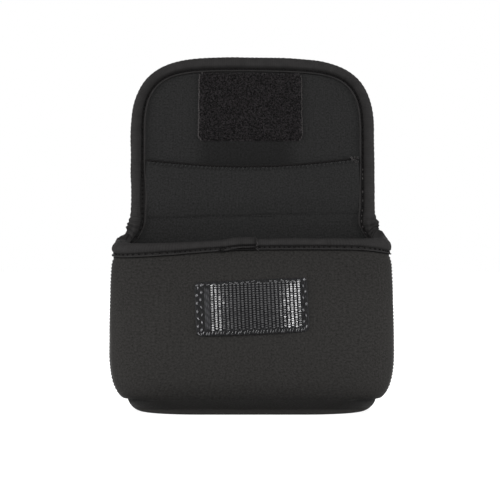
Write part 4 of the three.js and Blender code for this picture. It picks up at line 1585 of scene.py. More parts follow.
def binding_side(edge, puff=0.0):
    """One side of the binding's outside, from the flange's inner edge to the crest: (out, normal)."""
    across, height = edge.point
    roll, width, flange = binding_sizes(edge)
    slack = (width - BIND_GROOVE) / 2
    groove = stitch_line(edge)
    inner = flange_line(edge)
    pucker = lerp(EDGE_PUCKER, bpy.context.scene.lens_pouch_sizes.edge_pucker / MM, edge.flare())
    bump = gather(edge)
    slow = wave((edge.distance, 7, 3), ROLL_UNEVEN_SIZE)
    crest = COVER + pucker * bump + CREST_UNEVEN * slow + puff
    if across < 0:
        bulge = lerp(FLARE_PINCH_LEFT, FLARE_BULGE_LEFT, ramp(height, *FLARE_RAMP_LEFT))
        crest -= SIDE_DIP_LEFT * hump(height, *SIDE_DIP_HUMP)
    else:
        bulge = lerp(FLARE_PINCH_RIGHT, FLARE_BULGE_RIGHT, ramp(height, *FLARE_RAMP_RIGHT))
    crest += bulge * edge.flare()
    full = 1 + ROLL_UNEVEN * slow + ROLL_PUCKER * pucker * bump
    if not edge.on_flap:
        full += SIDE_FULL * ramp(abs(across), *SIDE_FULL_RAMP) * ramp(height, *SIDE_FULL_TOP_RAMP)
    lift = FLANGE_UNEVEN * wave((edge.distance, 40, 9), FLANGE_UNEVEN_SIZE) + puff
    controls = [
        (inner + 0.3, 1.7),
        (inner, 1.95),
        (inner - 0.05, 2.35 + lift),
        (inner + 0.22, 2.72 + lift),
        (inner + flange - 0.1, 2.6 + lift),
        (groove - 0.3 - slack, 1.95 + puff),
        (groove + 0.25 + slack, 1.88 + puff),
        (groove + 0.62 + slack, 2.5 * full + puff),
        (groove + 0.3 * roll, 3.05 * full + puff),
        (groove + 0.58 * roll, 3.1 * full + puff),
        (groove + 0.84 * roll, 2.5 * full + puff),
        (crest - 0.22, 1.35),
        (crest, 0.0),
    ]
    return smooth_line(controls, SIDE_POINTS)


def side_shadow(index, edge):
    """How dark the tape is at a point of its side: the mouth's seam is less deep than the flap's, and a
    wide groove gets more light."""
    across, height = edge.point
    place = index / SIDE_POINTS
    wide = (binding_sizes(edge)[1] - BIND_GROOVE) / SIDE_GROOVE_LEFT
    flap = np.interp(place, range(len(FLAP_SHADOW)), FLAP_SHADOW) * lerp(1.0, WIDE_SHADOW, wide)
    mouth = np.interp(place, range(len(MOUTH_SHADOW)), MOUTH_SHADOW)
    if edge.on_flap:
        tip = ramp(abs(across), *TIP_SHADOW_RAMP) if index >= TIP_SHADOW_FROM else 0.0
        return float(flap) * lerp(1.0, TIP_SHADOW, tip)
    return float(lerp(mouth, flap, ramp(height, *SHADOW_RAMP)))


def binding_shadow(frames):
    """The shadow of a binding's sections: its groove all along, and its gathers at the flap's foot."""
    last = 2 * (len(binding_side(frames[0])) - 1)

    def shadow(column, row):
        edge = frames[row]
        if column > last:
            return 1.0
        groove = side_shadow(min(column, last - column), edge)
        return max(groove, edge.flare() * clamp01(PUCKER_SHADOW - gather(edge)))

    return shadow


def both_faces(side):
    """A side of the binding and its mirror image on the sheet's other face, crest between."""
    return side + [(o, -n) for o, n in reversed(side[:-1])]


def binding_ring(edge):
    """The binding's whole section at a place on the edge."""
    side = binding_side(edge)
    slot = [(o, HALF_WALL + SLOT_GAP) for o in (SLOT_TOP, side[0][0] / 2)]
    inside = [(o, -n) for o, n in reversed(slot)] + slot
    return [tuple(edge.at(o, n)) for o, n in both_faces(side) + inside]


def edge_stitches(name, frames, stitch, pattern):
    """Stitches in the binding's groove on both faces of the sheet, some drawn tighter than others.
    Along the flap's right side most stitches are pale thread, a painted highlight."""
    places = []
    highlighted = []
    draw = random.Random(3)
    step = max(1, round(stitch / EDGE_STEP))
    for i in range(2, len(frames) - 2, step):
        edge = frames[i]
        right_side = edge.point[0] > 0 and STITCH_HIGHLIGHT_FROM < edge.point[1] < STITCH_HIGHLIGHT_TO
        for face in (1, -1):
            point, behind, ahead = [
                frames[k].at(stitch_line(frames[k]), face * STITCH_FACE) for k in (i, i - 1, i + 1)
            ]
            up = edge.at(stitch_line(edge), face * (STITCH_FACE + 1)) - point
            base, x, y, z = place_on(point - draw.uniform(*STITCH_SINK) * up, ahead - behind, up)
            places.append((base, x * draw.uniform(*STITCH_LENGTHS), y, z))
            # Pale thread there is a painted highlight
            highlighted.append(right_side and draw.random() < STITCH_HIGHLIGHT_SHARE)
    sewn = copies_piece(name, pattern, places, [finish("thread"), finish("selvedge")])
    faces = len(pattern.data.polygons)
    for polygon in sewn.data.polygons:
        polygon.material_index = int(highlighted[polygon.index // faces])
    return sewn


class LENS_POUCH_OT_binding(bpy.types.Operator):
    """Stretch binding rolled over the flap's and the mouth's edge, with its stitches"""

    bl_idname = "lens_pouch.binding"
    bl_label = "Edge binding"

    def execute(self, context):
        sizes = context.scene.lens_pouch_sizes
        runs = {
            "edge_binding_mouth": (edge_frames(lower_edge(), False), bend_at_first_fold),
            "edge_binding_tip": (edge_frames(upper_edge(), True), bend_at_second_fold),
        }
        stands_for = {
            "edge_binding_mouth": (
                "mouth_binding",
                "crease_binding_left",
                "crease_binding_right",
                "cover_binding_left",
                "cover_binding_right",
            ),
            "edge_binding_tip": ("tip_binding", "fold_binding_left", "fold_binding_right"),
        }
        threads = {
            "edge_binding_mouth": (
                "mouth_binding_thread",
                "cover_binding_thread_left",
                "cover_binding_thread_right",
            ),
            "edge_binding_tip": ("tip_binding_thread",),
        }
        pattern = stitch_pattern(length=1.5, radius=1.1 * sizes.thread / MM, dive=0.35)
        for name, (frames, bend) in runs.items():
            rings = [binding_ring(edge) for edge in frames]
            piece = swept_piece(name, rings, [edge.distance for edge in frames], binding_shadow(frames))
            dress(piece, [finish("binding")], ROUND_ANGLE)
            bend(piece)
            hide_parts(*stands_for[name])
            sewn = edge_stitches(f"{name}_stitches", frames, sizes.stitch / MM, pattern)
            bend(sewn)
            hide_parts(*threads[name])
        discard(pattern)
        return {"FINISHED"}


class LENS_POUCH_OT_lap(bpy.types.Operator):
    """Where the end of the mouth's binding is lapped over its start"""

    bl_idname = "lens_pouch.lap"
    bl_label = "Binding lap"

    def execute(self, context):
        mouth = edge_frames(lower_edge(), False)
        frames = [edge for edge in mouth if LAP_START <= edge.point[0] <= LAP_END]
        rings = []
        for edge in frames:
            share = (edge.point[0] - LAP_START) / (LAP_END - LAP_START)
            under = binding_side(edge, LAP_UNDER)
            over = []
            skin = lerp(*LAP_SKIN, ease(share / LAP_SKIN_SHARE))
            for i, (o, n) in enumerate(binding_side(edge, skin)):
                rise = lerp(*LAP_RISE, i / (len(under) - 1)) * ease(share / LAP_RISE_SHARE)
                over.append((o + rise, n))
            rings.append([tuple(edge.at(o, n)) for o, n in both_faces(over) + both_faces(under)[::-1]])
        last = len(rings) - 1
        outer = len(rings[0]) // 2

        def shadow(column, row):
            groove = side_shadow(min(column, outer - 1 - column), frames[row]) if column < outer else 1.0
            return max(groove, LAP_END_SHADOW * ramp(row, last - 3, last - 1))

        piece = swept_piece("binding_lap_end", rings, [edge.distance for edge in frames], shadow)
        dress(piece, [finish("binding")], TAPE_ANGLE)
        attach(piece, "pouch")
        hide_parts("binding_lap")

        draw = random.Random(5)
        fibre = stitch_pattern(length=2.2, radius=0.14, dive=0.5)
        foot = frames[0]
        inner = binding_side(foot)[2][0]
        tuft = []
        for _ in range(LAP_FIBRES):
            origin = foot.at(inner + draw.uniform(*FRAY_UP), FRAY_FACE)
            origin += Vector((draw.uniform(*FRAY_ACROSS), 0, 0))
            along = [draw.uniform(*span) for span in FRAY_TURNS]
            tuft.append(place_on(origin, along, TO_VIEWER))
        fray = copies_piece("binding_lap_fray", fibre, tuft, [finish("thread")])
        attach(fray, "pouch")

        cut_end = frames[-1]
        outline = [cut_end.at(o, n + TACK_PROUD) for o, n in binding_side(cut_end)[TACK_POINTS]]
        knots = []
        for below, point, above in zip(outline[::3], outline[1::3], outline[2::3]):
            along = above - below + Vector((draw.uniform(*TACK_STRAY), 0, 0))
            knots.append(place_on(point + Vector(TACK_OUT), along, TACK_FACES))
        tack = copies_piece("binding_lap_tack", fibre, knots, [finish("selvedge")])
        discard(fibre)
        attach(tack, "pouch")
        return {"FINISHED"}


def pocket_hem(u):
    """Height of the pocket's hem above the first fold."""
    side = lerp(POCKET_SIDE_LEFT, POCKET_SIDE_RIGHT, (u / POCKET_HALF + 1) / 2)
    return side - POCKET_DIP * (1 - clamp01(abs(u) / POCKET_HALF) ** 2)


def pocket_foot(u):
    """Foot of the pocket above the first fold, a little higher on the right."""
    return POCKET_FOOT + POCKET_FOOT_RISE * u


def pocket_face(u, s):
    """The pocket's face towards the viewer: flat across the flap's hollow, standing off it at the hem."""
    share = clamp01((s - pocket_foot(u)) / (pocket_hem(u) - pocket_foot(u)))
    side = 1 - abs(u / POCKET_HALF) ** POCKET_SIDE_POWER
    gap = bpy.context.scene.lens_pouch_sizes.pocket_gap / MM
    off = HALF_WALL + POCKET_PROUD + gap * share * side
    off += POCKET_SKIN * lerp(0.5, 1, side) * ease(share / POCKET_FULL)
    off += POCKET_UNEVEN * wave((u, s, 0), POCKET_UNEVEN_SIZE) * side
    return sheet_point(u, CREASE_HEIGHT + s, -off - POCKET_FOLLOW * flap_form(u, s))


def pocket_row(line, inset, pitch, ahead, sunk):
    """Places of stitches along a line of the pocket's face, sunk into it a little."""
    places = []
    for u in spread(-POCKET_HALF + inset, POCKET_HALF - inset, pitch):
        point = Vector(pocket_face(u, line(u)))
        along = Vector(pocket_face(u + ahead, line(u + ahead))) - point
        places.append(place_on(point + Vector((0, sunk, 0)), along, TO_VIEWER))
    return places


class LENS_POUCH_OT_pocket(bpy.types.Operator):
    """Thin pocket inside the flap, with an overcast hem that dips in the middle"""

    bl_idname = "lens_pouch.pocket"
    bl_label = "Flap pocket"

    def execute(self, context):
        sizes = context.scene.lens_pouch_sizes

        def height(u, v):
            scallop = HEM_SCALLOP * abs(math.sin(math.pi * u / HEM_PITCH))
            return lerp(pocket_foot(u), pocket_hem(u) - scallop, v)

        # Painted shade along the crease of the pocket's foot seam
        def foot_line(u, s):
            drift = 0.3 * wave((u, 0, 0), 14)
            pulled = bell((s - pocket_foot(u) - POCKET_SEAM - drift) / POCKET_FOOT_SPREAD)
            strength = clamp01(0.85 + 0.5 * wave((u, 9, 0), 9))
            return pulled * strength * lerp(1, 0.5, ramp(u, *POCKET_FOOT_FADE_RAMP))

        piece = grid_piece(
            "flap_pocket_panel",
            spread(-POCKET_HALF, POCKET_HALF, 1.0),
            spread(0, 0.15, 1 / 80) + spread(0.175, 1, 1 / 40),
            lambda u, v: pocket_face(u, height(u, v)),
            lambda u, v: (u, height(u, v)),
            lambda u, v: foot_line(u, height(u, v)),
        )
        thicken(piece, POCKET_SKIN * POCKET_SOLID)
        dress(piece, [finish("lining")])
        bend_at_first_fold(piece)
        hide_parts("flap_pocket")

        cord = stitch_pattern(length=2.7, radius=0.6, dive=0.1)
        cord_places = pocket_row(
            lambda u: pocket_hem(u) + HEM_CORD, inset=1.2, pitch=HEM_PITCH, ahead=1, sunk=0.35
        )
        edging = copies_piece("pocket_hem_edging", cord, cord_places, [finish("thread")])
        discard(cord)
        bend_at_first_fold(edging)

        draw = random.Random(2)
        fibre = stitch_pattern(length=2.0, radius=0.16, dive=0.3)
        ends = []
        for _ in range(TUFT_FIBRES):
            u = POCKET_HALF - draw.uniform(*TUFT_IN)
            point = Vector(pocket_face(u, pocket_hem(u) + draw.uniform(*TUFT_UP)))
            along = [draw.uniform(*span) for span in TUFT_TURNS]
            ends.append(place_on(point + TUFT_PROUD * Vector(TO_VIEWER), along, TO_VIEWER))
        tuft = copies_piece("pocket_hem_tuft", fibre, ends, [finish("selvedge")])
        discard(fibre)
        bend_at_first_fold(tuft)

        hem = stitch_pattern(length=2.1, radius=0.36, dive=0.5)
        hem_places = []
        for u in spread(-POCKET_HALF + 1.6, POCKET_HALF - 1.6, HEM_PITCH):
            top = pocket_hem(u)
            point = Vector(pocket_face(u, top - HEM_STITCH))
            down = Vector(pocket_face(u - 0.25, top - 1.8)) - point
            side = Vector(pocket_face(u + 0.5, top - HEM_STITCH)) - point
            up = down.cross(side)
            if up.y > 0:
                up = -up
            hem_places.append(place_on(point + up.normalized() * 0.1, down, up))
        overcast = copies_piece("pocket_hem_stitches", hem, hem_places, [finish("lining")])
        discard(hem)
        bend_at_first_fold(overcast)
        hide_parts("pocket_hem_thread")

        foot = stitch_pattern(length=1.8, radius=0.7 * sizes.thread / MM, dive=0.3)
        foot_places = pocket_row(
            lambda u: pocket_foot(u) + POCKET_SEAM, inset=2, pitch=sizes.stitch / MM, ahead=0.4, sunk=0.16
        )
        seam = copies_piece("pocket_foot_stitches", foot, foot_places, [finish("lining")])
        discard(foot)
        bend_at_first_fold(seam)
        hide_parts("pocket_foot_thread")
        return {"FINISHED"}


def round_corner(p, half, rise):
    """Height to which a tape with rounded corners reaches at a place across it, or the other way round."""
    over = abs(p) - (half - TAPE_CORNER)
    if over <= 0:
        return rise
    return rise - TAPE_CORNER + math.sqrt(max(TAPE_CORNER**2 - over**2, 0.0))


def hook_point(p, q, n):
    """A point on the hook tape's place on the front: p across, q up, n above the front's face."""
    x = p * math.cos(HOOK_TILT) - q * math.sin(HOOK_TILT)
    z = HOOK_HEIGHT + (p * math.sin(HOOK_TILT) + q * math.cos(HOOK_TILT)) * math.cos(FRONT_SLOPE)
    bow = HOOK_BOW * (1 - (p / TAPE_HALF) ** 2)
    return x, -body_front(z) - front_swell(x, z) - n - bow, z


def hook_pattern(reach):
    """One hook of the hook tape, z up from the tape: a low arch along x with its end cut free."""
    side = Vector((0, 1, 0))
    rings = []
    for i, (x, z) in enumerate(HOOK_PATH):
        before = HOOK_PATH[max(i - 1, 0)]
        after = HOOK_PATH[min(i + 1, len(HOOK_PATH) - 1)]
        along = Vector((after[0] - before[0], 0, (after[1] - before[1]) * reach)).normalized()
        if z == 1.0:
            along = Vector((1, 0, 0))
        out = along.cross(side)
        centre = Vector((x, 0, z * reach))
        rings.append([tuple(centre + across * side + off * out) for across, off in HOOK_SECTION])
    return swept_piece("hook_pattern", rings, list(range(len(rings))))


class LENS_POUCH_OT_hook_tape(bpy.types.Operator):
    """Hook half of the closure, sewn on the front a little turned"""

    bl_idname = "lens_pouch.hook_tape"
    bl_label = "Hook tape"

    def execute(self, context):
        sizes = context.scene.lens_pouch_sizes

        def height(p, t):
            return t * round_corner(p, TAPE_HALF, HOOK_RISE)

        def smooth_strip(p, q):
            across = ramp(p, *STRIP_LEFT_RAMP) * ramp(p, *STRIP_RIGHT_RAMP)
            return across * ramp(abs(q), *STRIP_END_RAMP)

        def dark_border(p, q):
            across = ramp(p, *FIELD_LEFT_RAMP) * ramp(p, *FIELD_RIGHT_RAMP)
            return 1 - max(across * ramp(abs(q), *FIELD_END_RAMP), smooth_strip(p, q))

        def relief(p, q):
            edge = min(TAPE_HALF - abs(p), HOOK_RISE - abs(q))
            drop = TAPE_EDGE_DROP * (1 - ease(edge / TAPE_EDGE_RUN))
            return TAPE_FACE - drop + STRIP_LIFT * smooth_strip(p, q)

        ground = grid_piece(
            "hook_tape_ground",
            spread(-TAPE_HALF, TAPE_HALF, 0.42),
            spread(-1, 1, 0.05),
            lambda p, t: hook_point(p, height(p, t), relief(p, height(p, t))),
            lambda p, t: (p, t * HOOK_RISE),
            lambda p, t: dark_border(p, height(p, t)),
        )
        thicken(ground, depth=0.55)
        dress(ground, [finish("tape")], TAPE_ANGLE)
        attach(ground, "pouch")
        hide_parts("hook_tape")

        draw = random.Random(7)
        pattern = hook_pattern(sizes.hook_reach / MM)
        places = []
        pitch = sizes.hook_pitch / MM
        for row in range(sizes.hook_rows):
            p = lerp(HOOKS_LEFT, HOOKS_RIGHT, row / (sizes.hook_rows - 1))
            lean = 1 if row % 2 else -1
            for q in spread(HOOKS_LOW + 0.5 * pitch * (row % 2), HOOKS_HIGH, pitch):
                origin = Vector(hook_point(p, q, TAPE_FACE))
                ahead = Vector(hook_point(p + 1, q, TAPE_FACE)) - origin
                rise = Vector(hook_point(p, q + 1, TAPE_FACE)) - origin
                up = ahead.cross(rise)
                along = lean * ahead + draw.uniform(-HOOK_SWAY, HOOK_SWAY) * up
                places.append(place_on(origin, along, up + draw.uniform(-HOOK_TIP, HOOK_TIP) * rise))
        hooks = copies_piece("hook_tape_hooks", pattern, places, [finish("hooks")], HOOK_ANGLE)
        discard(pattern)
        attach(hooks, "pouch")

        stitches = []

        def sew(p, q, along_p, along_q, stout=1.0):
            p += draw.uniform(-0.3, 0.3)
            q += draw.uniform(-0.3, 0.3)
            stout *= draw.uniform(0.6, 1.15)
            origin = Vector(hook_point(p, q, FRAME_FACE))
            ahead = Vector(hook_point(p + along_p, q + along_q, FRAME_FACE)) - origin
            up = Vector(hook_point(p, q, FRAME_FACE + 1)) - origin
            base, x, y, z = place_on(origin, ahead, up)
            stitches.append((base, x, y * stout, z * stout))

        # The frame's left, right, upper and lower seam
        for i, q in enumerate(spread(-FRAME_UP, FRAME_UP, 1.7)):
            sew(-FRAME_ACROSS + 1.6 * (i % 2), q, draw.uniform(-0.6, 0.6), 1, stout=1.3)
        for i, q in enumerate(spread(-FRAME_UP + 1, FRAME_UP, 2.6)):
            sew(FRAME_ACROSS - 1.1 * (i % 2), q, draw.uniform(-0.3, 0.5), 1, stout=1.25)
        for p in spread(-FRAME_ACROSS, FRAME_ACROSS, 2.5):
            sew(p, FRAME_UP + draw.uniform(-0.4, 0.3), 1, draw.uniform(-0.6, 0.6))
        for p in spread(-FRAME_ACROSS + 1, FRAME_ACROSS - 1, 1.25):
            sew(p, -FRAME_UP + 0.2, 0.35, 1, stout=0.55)
        thread = stitch_pattern(length=1.7, radius=1.4 * sizes.thread / MM, dive=0.25)
        sewn = copies_piece("hook_tape_stitches", thread, stitches, [finish("nylon")])
        discard(thread)
        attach(sewn, "pouch")
        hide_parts("hook_tape_thread")
        return {"FINISHED"}


def loop_point(p, s, n):
    """A point on the loop tape's place in the flap: p across, s above the first fold, n above the face."""
    return sheet_point(p + LOOP_SHIFT, CREASE_HEIGHT + s, -HALF_WALL - n)


def pile_pattern(reach):
    """One loop of pile: a low arch of fibre along x, z up."""
    side = Vector((0, 1, 0))
    angles = [math.tau * k / PILE_SIDES for k in range(PILE_SIDES)]
    rings = []
    for i in range(PILE_RINGS):
        turn = math.pi * i / (PILE_RINGS - 1)
        rise = reach * math.sin(turn) - 0.1
        centre = Vector((-PILE_HALF * math.cos(turn), 0.12 * math.sin(2 * turn), rise))
        out = Vector((math.sin(turn), 0, math.cos(turn))).cross(side)
        spokes = [PILE_RADIUS * (math.cos(angle) * side + math.sin(angle) * out) for angle in angles]
        rings.append([tuple(centre + spoke) for spoke in spokes])
    return swept_piece("pile_pattern", rings, list(range(PILE_RINGS)))


class LENS_POUCH_OT_loop_tape(bpy.types.Operator):
    """Loop half of the closure, inside the flap's tip"""

    bl_idname = "lens_pouch.loop_tape"
    bl_label = "Loop tape"

    def execute(self, context):
        sizes = context.scene.lens_pouch_sizes
        middle = (LOOP_FROM + LOOP_TO) / 2
        rise = (LOOP_TO - LOOP_FROM) / 2

        def relief(p, q):
            edge = min(TAPE_HALF - abs(p), rise - abs(q))
            cord = LOOP_CORD * hump(abs(p), *LOOP_CORD_HUMP)
            felt = FELT_RISE * ramp(edge, *FELT_RAMP)
            uneven = FELT_UNEVEN * wave((p, q, 4), FELT_UNEVEN_SIZE) * ease(edge - 1)
            return LOOP_FACE + cord + felt + uneven

        def ground_point(p, t):
            q = t * round_corner(p, TAPE_HALF, rise)
            return loop_point(p, middle + q, relief(p, q))

        columns = spread(-TAPE_HALF, TAPE_HALF, 0.5)
        rows = spread(-1, 1, 0.03)
        ground = grid_piece("loop_tape_ground", columns, rows, ground_point, lambda p, t: (p, t * rise))
        thicken(ground, depth=0.45)
        dress(ground, [finish("pile")], TAPE_ANGLE)
        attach(ground, "tip")
        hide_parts("loop_tape")

        draw = random.Random(11)
        pattern = pile_pattern(sizes.pile_reach / MM * PILE_SHARE)
        places = []
        for _ in range(sizes.pile_loops):
            p = draw.uniform(-TAPE_HALF + PILE_SIDE_MARGIN, TAPE_HALF - PILE_SIDE_MARGIN)
            q = draw.uniform(-1, 1) * (round_corner(p, TAPE_HALF, rise) - PILE_END_MARGIN)
            turn = draw.uniform(0, math.tau)
            size = draw.uniform(*PILE_SIZES)
            origin = Vector(loop_point(p, middle + q, PILE_FACE))
            up = Vector(loop_point(p, middle + q, PILE_FACE + 1)) - origin
            ahead = Vector(loop_point(p + math.cos(turn), middle + q + math.sin(turn), PILE_FACE)) - origin
            base, x, y, z = place_on(origin, ahead, up)
            places.append((base, x * size, y * size, z * draw.uniform(*PILE_RISES)))
        pile = copies_piece("loop_tape_pile", pattern, places, [finish("pile")], PILE_ANGLE)
        discard(pattern)
        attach(pile, "tip")

        thread = stitch_pattern(length=1.6, radius=0.36, dive=0.2)
        stitches = []
        for q in spread(-rise + 0.6, rise - 0.5, LOOP_STITCH):
            for hand, size in LOOP_STITCH_SIDES:
                side = hand * (round_corner(q, rise, TAPE_HALF) - LOOP_STITCH_INSET)
                side += draw.uniform(*LOOP_STITCH_STRAY)
                point = Vector(loop_point(side, middle + q, FRAME_FACE))
                drift = draw.uniform(*LOOP_STITCH_DRIFT)
                ahead = Vector(loop_point(side + drift, middle + q + 1, FRAME_FACE)) - point
                base, x, y, z = place_on(point, ahead, TO_VIEWER)
                stout = size * draw.uniform(*LOOP_STITCH_STOUT)
                stitches.append((base, x, y * stout, z * stout))
        sewn = copies_piece("loop_tape_stitches", thread, stitches, [finish("selvedge")])
        discard(thread)
        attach(sewn, "tip")
        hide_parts("loop_tape_thread")
        return {"FINISHED"}


def belt_point(p, q, extra=0.0):
    """A point on the outside of the belt loop: p across, q up from its middle."""
    bow = BELT_ROOM * ease((BELT_RISE - BELT_TAB + 0.5 - abs(q)) / (BELT_BEND + 1))
    return sheet_point(p, BELT_HEIGHT + q, HALF_WALL + BELT_GAP + BELT_SKIN + bow + extra)


class LENS_POUCH_OT_belt_loop(bpy.types.Operator):
    """Webbing loop on the back, sewn down at both ends"""

    bl_idname = "lens_pouch.belt_loop"
    bl_label = "Belt loop"

    def execute(self, context):
        sizes = context.scene.lens_pouch_sizes

        def face(p, q):
            selvedge = -BELT_SELVEDGE_DROP * (1 - ease((BELT_HALF - abs(p)) / BELT_STEP))
            cut = -BELT_END_DROP * (1 - ease((BELT_RISE - abs(q)) / BELT_STEP))
            return belt_point(p, q, selvedge + cut)

        columns = spread(BELT_HALF, -BELT_HALF, BELT_STEP)
        strip = grid_piece("belt_loop_webbing", columns, spread(-BELT_RISE, BELT_RISE, BELT_STEP), face)
        thicken(strip, BELT_SKIN)
        dress(strip, [finish("webbing")], TAPE_ANGLE)
        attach(strip, "pouch")
        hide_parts("belt_loop")

        thread = stitch_pattern(length=2.2, radius=sizes.thread / MM * 1.2, dive=0.35)
        across = BELT_HALF - BELT_SIDE_SEAM
        ends = {
            "bottom": (BELT_SEAM - BELT_RISE, BELT_TAB - BELT_RISE - BELT_SEAM),
            "top": (BELT_RISE - BELT_TAB + BELT_SEAM, BELT_RISE - BELT_SEAM),
        }
        for end, (low, high) in ends.items():
            # A box and the cross in it
            lines = [
                ((-across, low), (across, low)),
                ((-across, high), (across, high)),
                ((-across, low), (-across, high)),
                ((across, low), (across, high)),
                ((-across, low), (across, high)),
                ((-across, high), (across, low)),
            ]
            places = []
            for (p0, q0), (p1, q1) in lines:
                count = max(2, round(math.dist((p0, q0), (p1, q1)) / BELT_STITCH))
                for k in range(count):
                    share = (k + 0.5) / count
                    point, ahead = [
                        Vector(belt_point(lerp(p0, p1, t), lerp(q0, q1, t), BELT_STITCH_LIFT))
                        for t in (share, share + 0.01)
                    ]
                    places.append(place_on(point, ahead - point, (0, 1, 0)))
            sewn = copies_piece(f"belt_loop_stitches_{end}", thread, places, [finish("thread")])
            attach(sewn, "pouch")
            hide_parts(f"belt_loop_thread_{end}")
        discard(thread)
        return {"FINISHED"}


class LENS_POUCH_OT_seams(bpy.types.Operator):
    """Stitches of the side seams and of the base seam, and the tape over the side seams inside"""

    bl_idname = "lens_pouch.seams"
    bl_label = "Body seams"

    def execute(self, context):
        sizes = context.scene.lens_pouch_sizes
        thread = stitch_pattern(length=1.3, radius=sizes.thread / MM, dive=0.2)
        for side, hand in (("left", -1), ("right", 1)):
            places = []
            for z in spread(SEAM_HEIGHT + 2, MOUTH_HEIGHT - 7, SEAM_PITCH):
                point = Vector(sheet_point(hand * SEAM, z, HALF_WALL - SEAM_DEPTH))
                above = Vector(sheet_point(hand * SEAM, z + 1, HALF_WALL - SEAM_DEPTH))
                places.append(place_on(point, above - point, (hand, 0, 0)))
            sewn = copies_piece(f"side_seam_stitches_{side}", thread, places, [finish("thread")])
            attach(sewn, "pouch")
            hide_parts(f"side_seam_thread_{side}")

            def inside(d, v, hand=hand):
                h = lerp(WALL, mouth_height(hand * d) - SEAM_TAPE_BELOW, v)
                ridge = SEAM_TAPE_RIDGE * hump(d, SEAM, SEAM_TAPE_SPREAD)
                return sheet_point(hand * d, h, -HALF_WALL - SEAM_TAPE_SKIN - ridge)

            across = spread(SEAM - SEAM_TAPE_HALF, SEAM + SEAM_TAPE_HALF, SEAM_TAPE_STEP)
            tape = grid_piece(f"side_seam_tape_{side}", across[::hand], spread(0, 1, 1 / 40), inside)
            thicken(tape, SEAM_TAPE_SKIN)
            dress(tape, [finish("lining")])
            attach(tape, "pouch")
        places = []
        z = SEAM_HEIGHT - BASE_SEAM_DROP
        for d in spread(-SEAM, SEAM, BASE_STITCH):
            ends = []
            for reach in (d, d + 0.3):
                x, y = level_point(base_section(z), *place_of(abs(reach)), -BASE_STITCH_PROUD)
                ends.append(Vector((math.copysign(x, reach), y, z)))
            point, ahead = ends
            places.append(place_on(point, ahead - point, (point.x, point.y, 0)))
        sewn = copies_piece("base_seam_stitches", thread, places, [finish("thread")])
        discard(thread)
        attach(sewn, "pouch")
        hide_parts("base_seam_thread")
        return {"FINISHED"}


# Stage


def seen_directly(tree):
    """1 for the camera and for mirror and glass that show the background, 0 for light on the object."""
    rays = add_node(tree, "ShaderNodeLightPath").outputs
    seen = rays["Is Camera Ray"]
    for ray in ("Is Glossy Ray", "Is Transmission Ray"):
        either = add_node(tree, "ShaderNodeMath", {"operation": "MAXIMUM"}, {0: seen, 1: rays[ray]})
        seen = either.outputs[0]
    return seen


def white_floor():
    """Plain pale studio floor that keeps the shadow and shows white where it is fully lit."""
    material, tree = new_material("pale_floor")
    shader = tree.nodes["Principled BSDF"]
    shader.inputs["Base Color"].default_value = linear("#b0b0b0")
    shader.inputs["Roughness"].default_value = 0.9
    glow = add_node(tree, "ShaderNodeMath", {"operation": "MULTIPLY", 1: 0.85}, {0: seen_directly(tree)})
    shader.inputs["Emission Color"].default_value = (1, 1, 1, 1)
    tree.links.new(glow.outputs[0], shader.inputs["Emission Strength"])
    return material


def soft_lamp(name, place, size, watts):
    """A rectangular softbox that faces the pouch."""
    bpy.ops.object.light_add(type="AREA", location=place)
    lamp = bpy.context.object
    lamp.name = name
    lamp.data.shape = "RECTANGLE"
    lamp.data.size = size[0]
    lamp.data.size_y = size[1]
    lamp.data.energy = watts
    lamp.rotation_euler = (Vector(LAMP_TARGET) - Vector(place)).to_track_quat("-Z", "Y").to_euler()


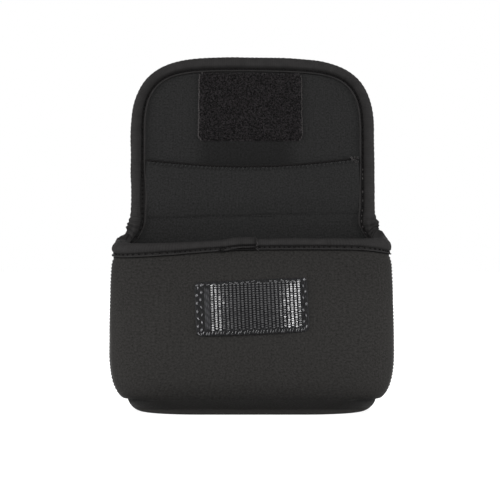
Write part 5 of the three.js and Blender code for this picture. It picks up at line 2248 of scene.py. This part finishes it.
class LENS_POUCH_OT_stage(bpy.types.Operator):
    """Pale floor, soft studio light and the camera"""

    bl_idname = "lens_pouch.stage"
    bl_label = "Stage"

    def execute(self, context):
        deselect()
        bpy.ops.mesh.primitive_plane_add(size=6, location=(0, 0, 0))
        floor = context.object
        floor.name = "studio_floor"
        floor.data.materials.append(white_floor())

        world = bpy.data.worlds.new("studio_world")
        context.scene.world = world
        world.use_nodes = True
        tree = world.node_tree
        background = tree.nodes["Background"]
        strength = add_node(
            tree, "ShaderNodeMapRange", {"To Min": 0.26, "To Max": 1.0}, {"Value": seen_directly(tree)}
        )
        background.inputs["Color"].default_value = (1, 1, 1, 1)
        tree.links.new(strength.outputs[0], background.inputs["Strength"])
        for lamp in LAMPS:
            soft_lamp(*lamp)

        bpy.ops.object.camera_add(location=CAMERA_PLACE, rotation=(math.radians(90), 0, 0))
        camera = context.object
        camera.name = "photo_camera"
        camera.data.sensor_width = SENSOR
        camera.data.lens = SENSOR / 2 / math.tan(CAMERA_ANGLE / 2)
        camera.data.clip_start = 0.01
        context.scene.camera = camera
        context.scene.view_settings.view_transform = "Standard"
        return {"FINISHED"}


STEPS = (
    LENS_POUCH_OT_stage,
    LENS_POUCH_OT_front,
    LENS_POUCH_OT_back,
    LENS_POUCH_OT_flap,
    LENS_POUCH_OT_binding,
    LENS_POUCH_OT_lap,
    LENS_POUCH_OT_pocket,
    LENS_POUCH_OT_hook_tape,
    LENS_POUCH_OT_loop_tape,
    LENS_POUCH_OT_belt_loop,
    LENS_POUCH_OT_seams,
)


class VIEW3D_PT_lens_pouch(bpy.types.Panel):
    """Lists the pouch's sizes, colours and making steps."""

    bl_label = "Lens Pouch"
    bl_space_type = "VIEW_3D"
    bl_region_type = "UI"
    bl_category = "Lens Pouch"

    def draw(self, context):
        layout = self.layout
        for group in (context.scene.lens_pouch_sizes, context.scene.lens_pouch_colours):
            for name in group.bl_rna.properties.keys():
                if name not in {"rna_type", "name"}:
                    layout.prop(group, name)
        for step in STEPS:
            layout.operator(step.bl_idname)


CLASSES = (LensPouchSizes, LensPouchColours, *STEPS, VIEW3D_PT_lens_pouch)


def register():
    """Registers the classes and the scene's settings."""
    for cls in CLASSES:
        bpy.utils.register_class(cls)
    bpy.types.Scene.lens_pouch_sizes = PointerProperty(type=LensPouchSizes)
    bpy.types.Scene.lens_pouch_colours = PointerProperty(type=LensPouchColours)


def unregister():
    """Takes the settings and classes away again."""
    del bpy.types.Scene.lens_pouch_colours
    del bpy.types.Scene.lens_pouch_sizes
    for cls in reversed(CLASSES):
        bpy.utils.unregister_class(cls)


def main():
    """Makes every piece in order."""
    register()
    deselect()
    for step in STEPS:
        group, name = step.bl_idname.split(".")
        getattr(getattr(bpy.ops, group), name)()


if __name__ == "__main__":
    main()
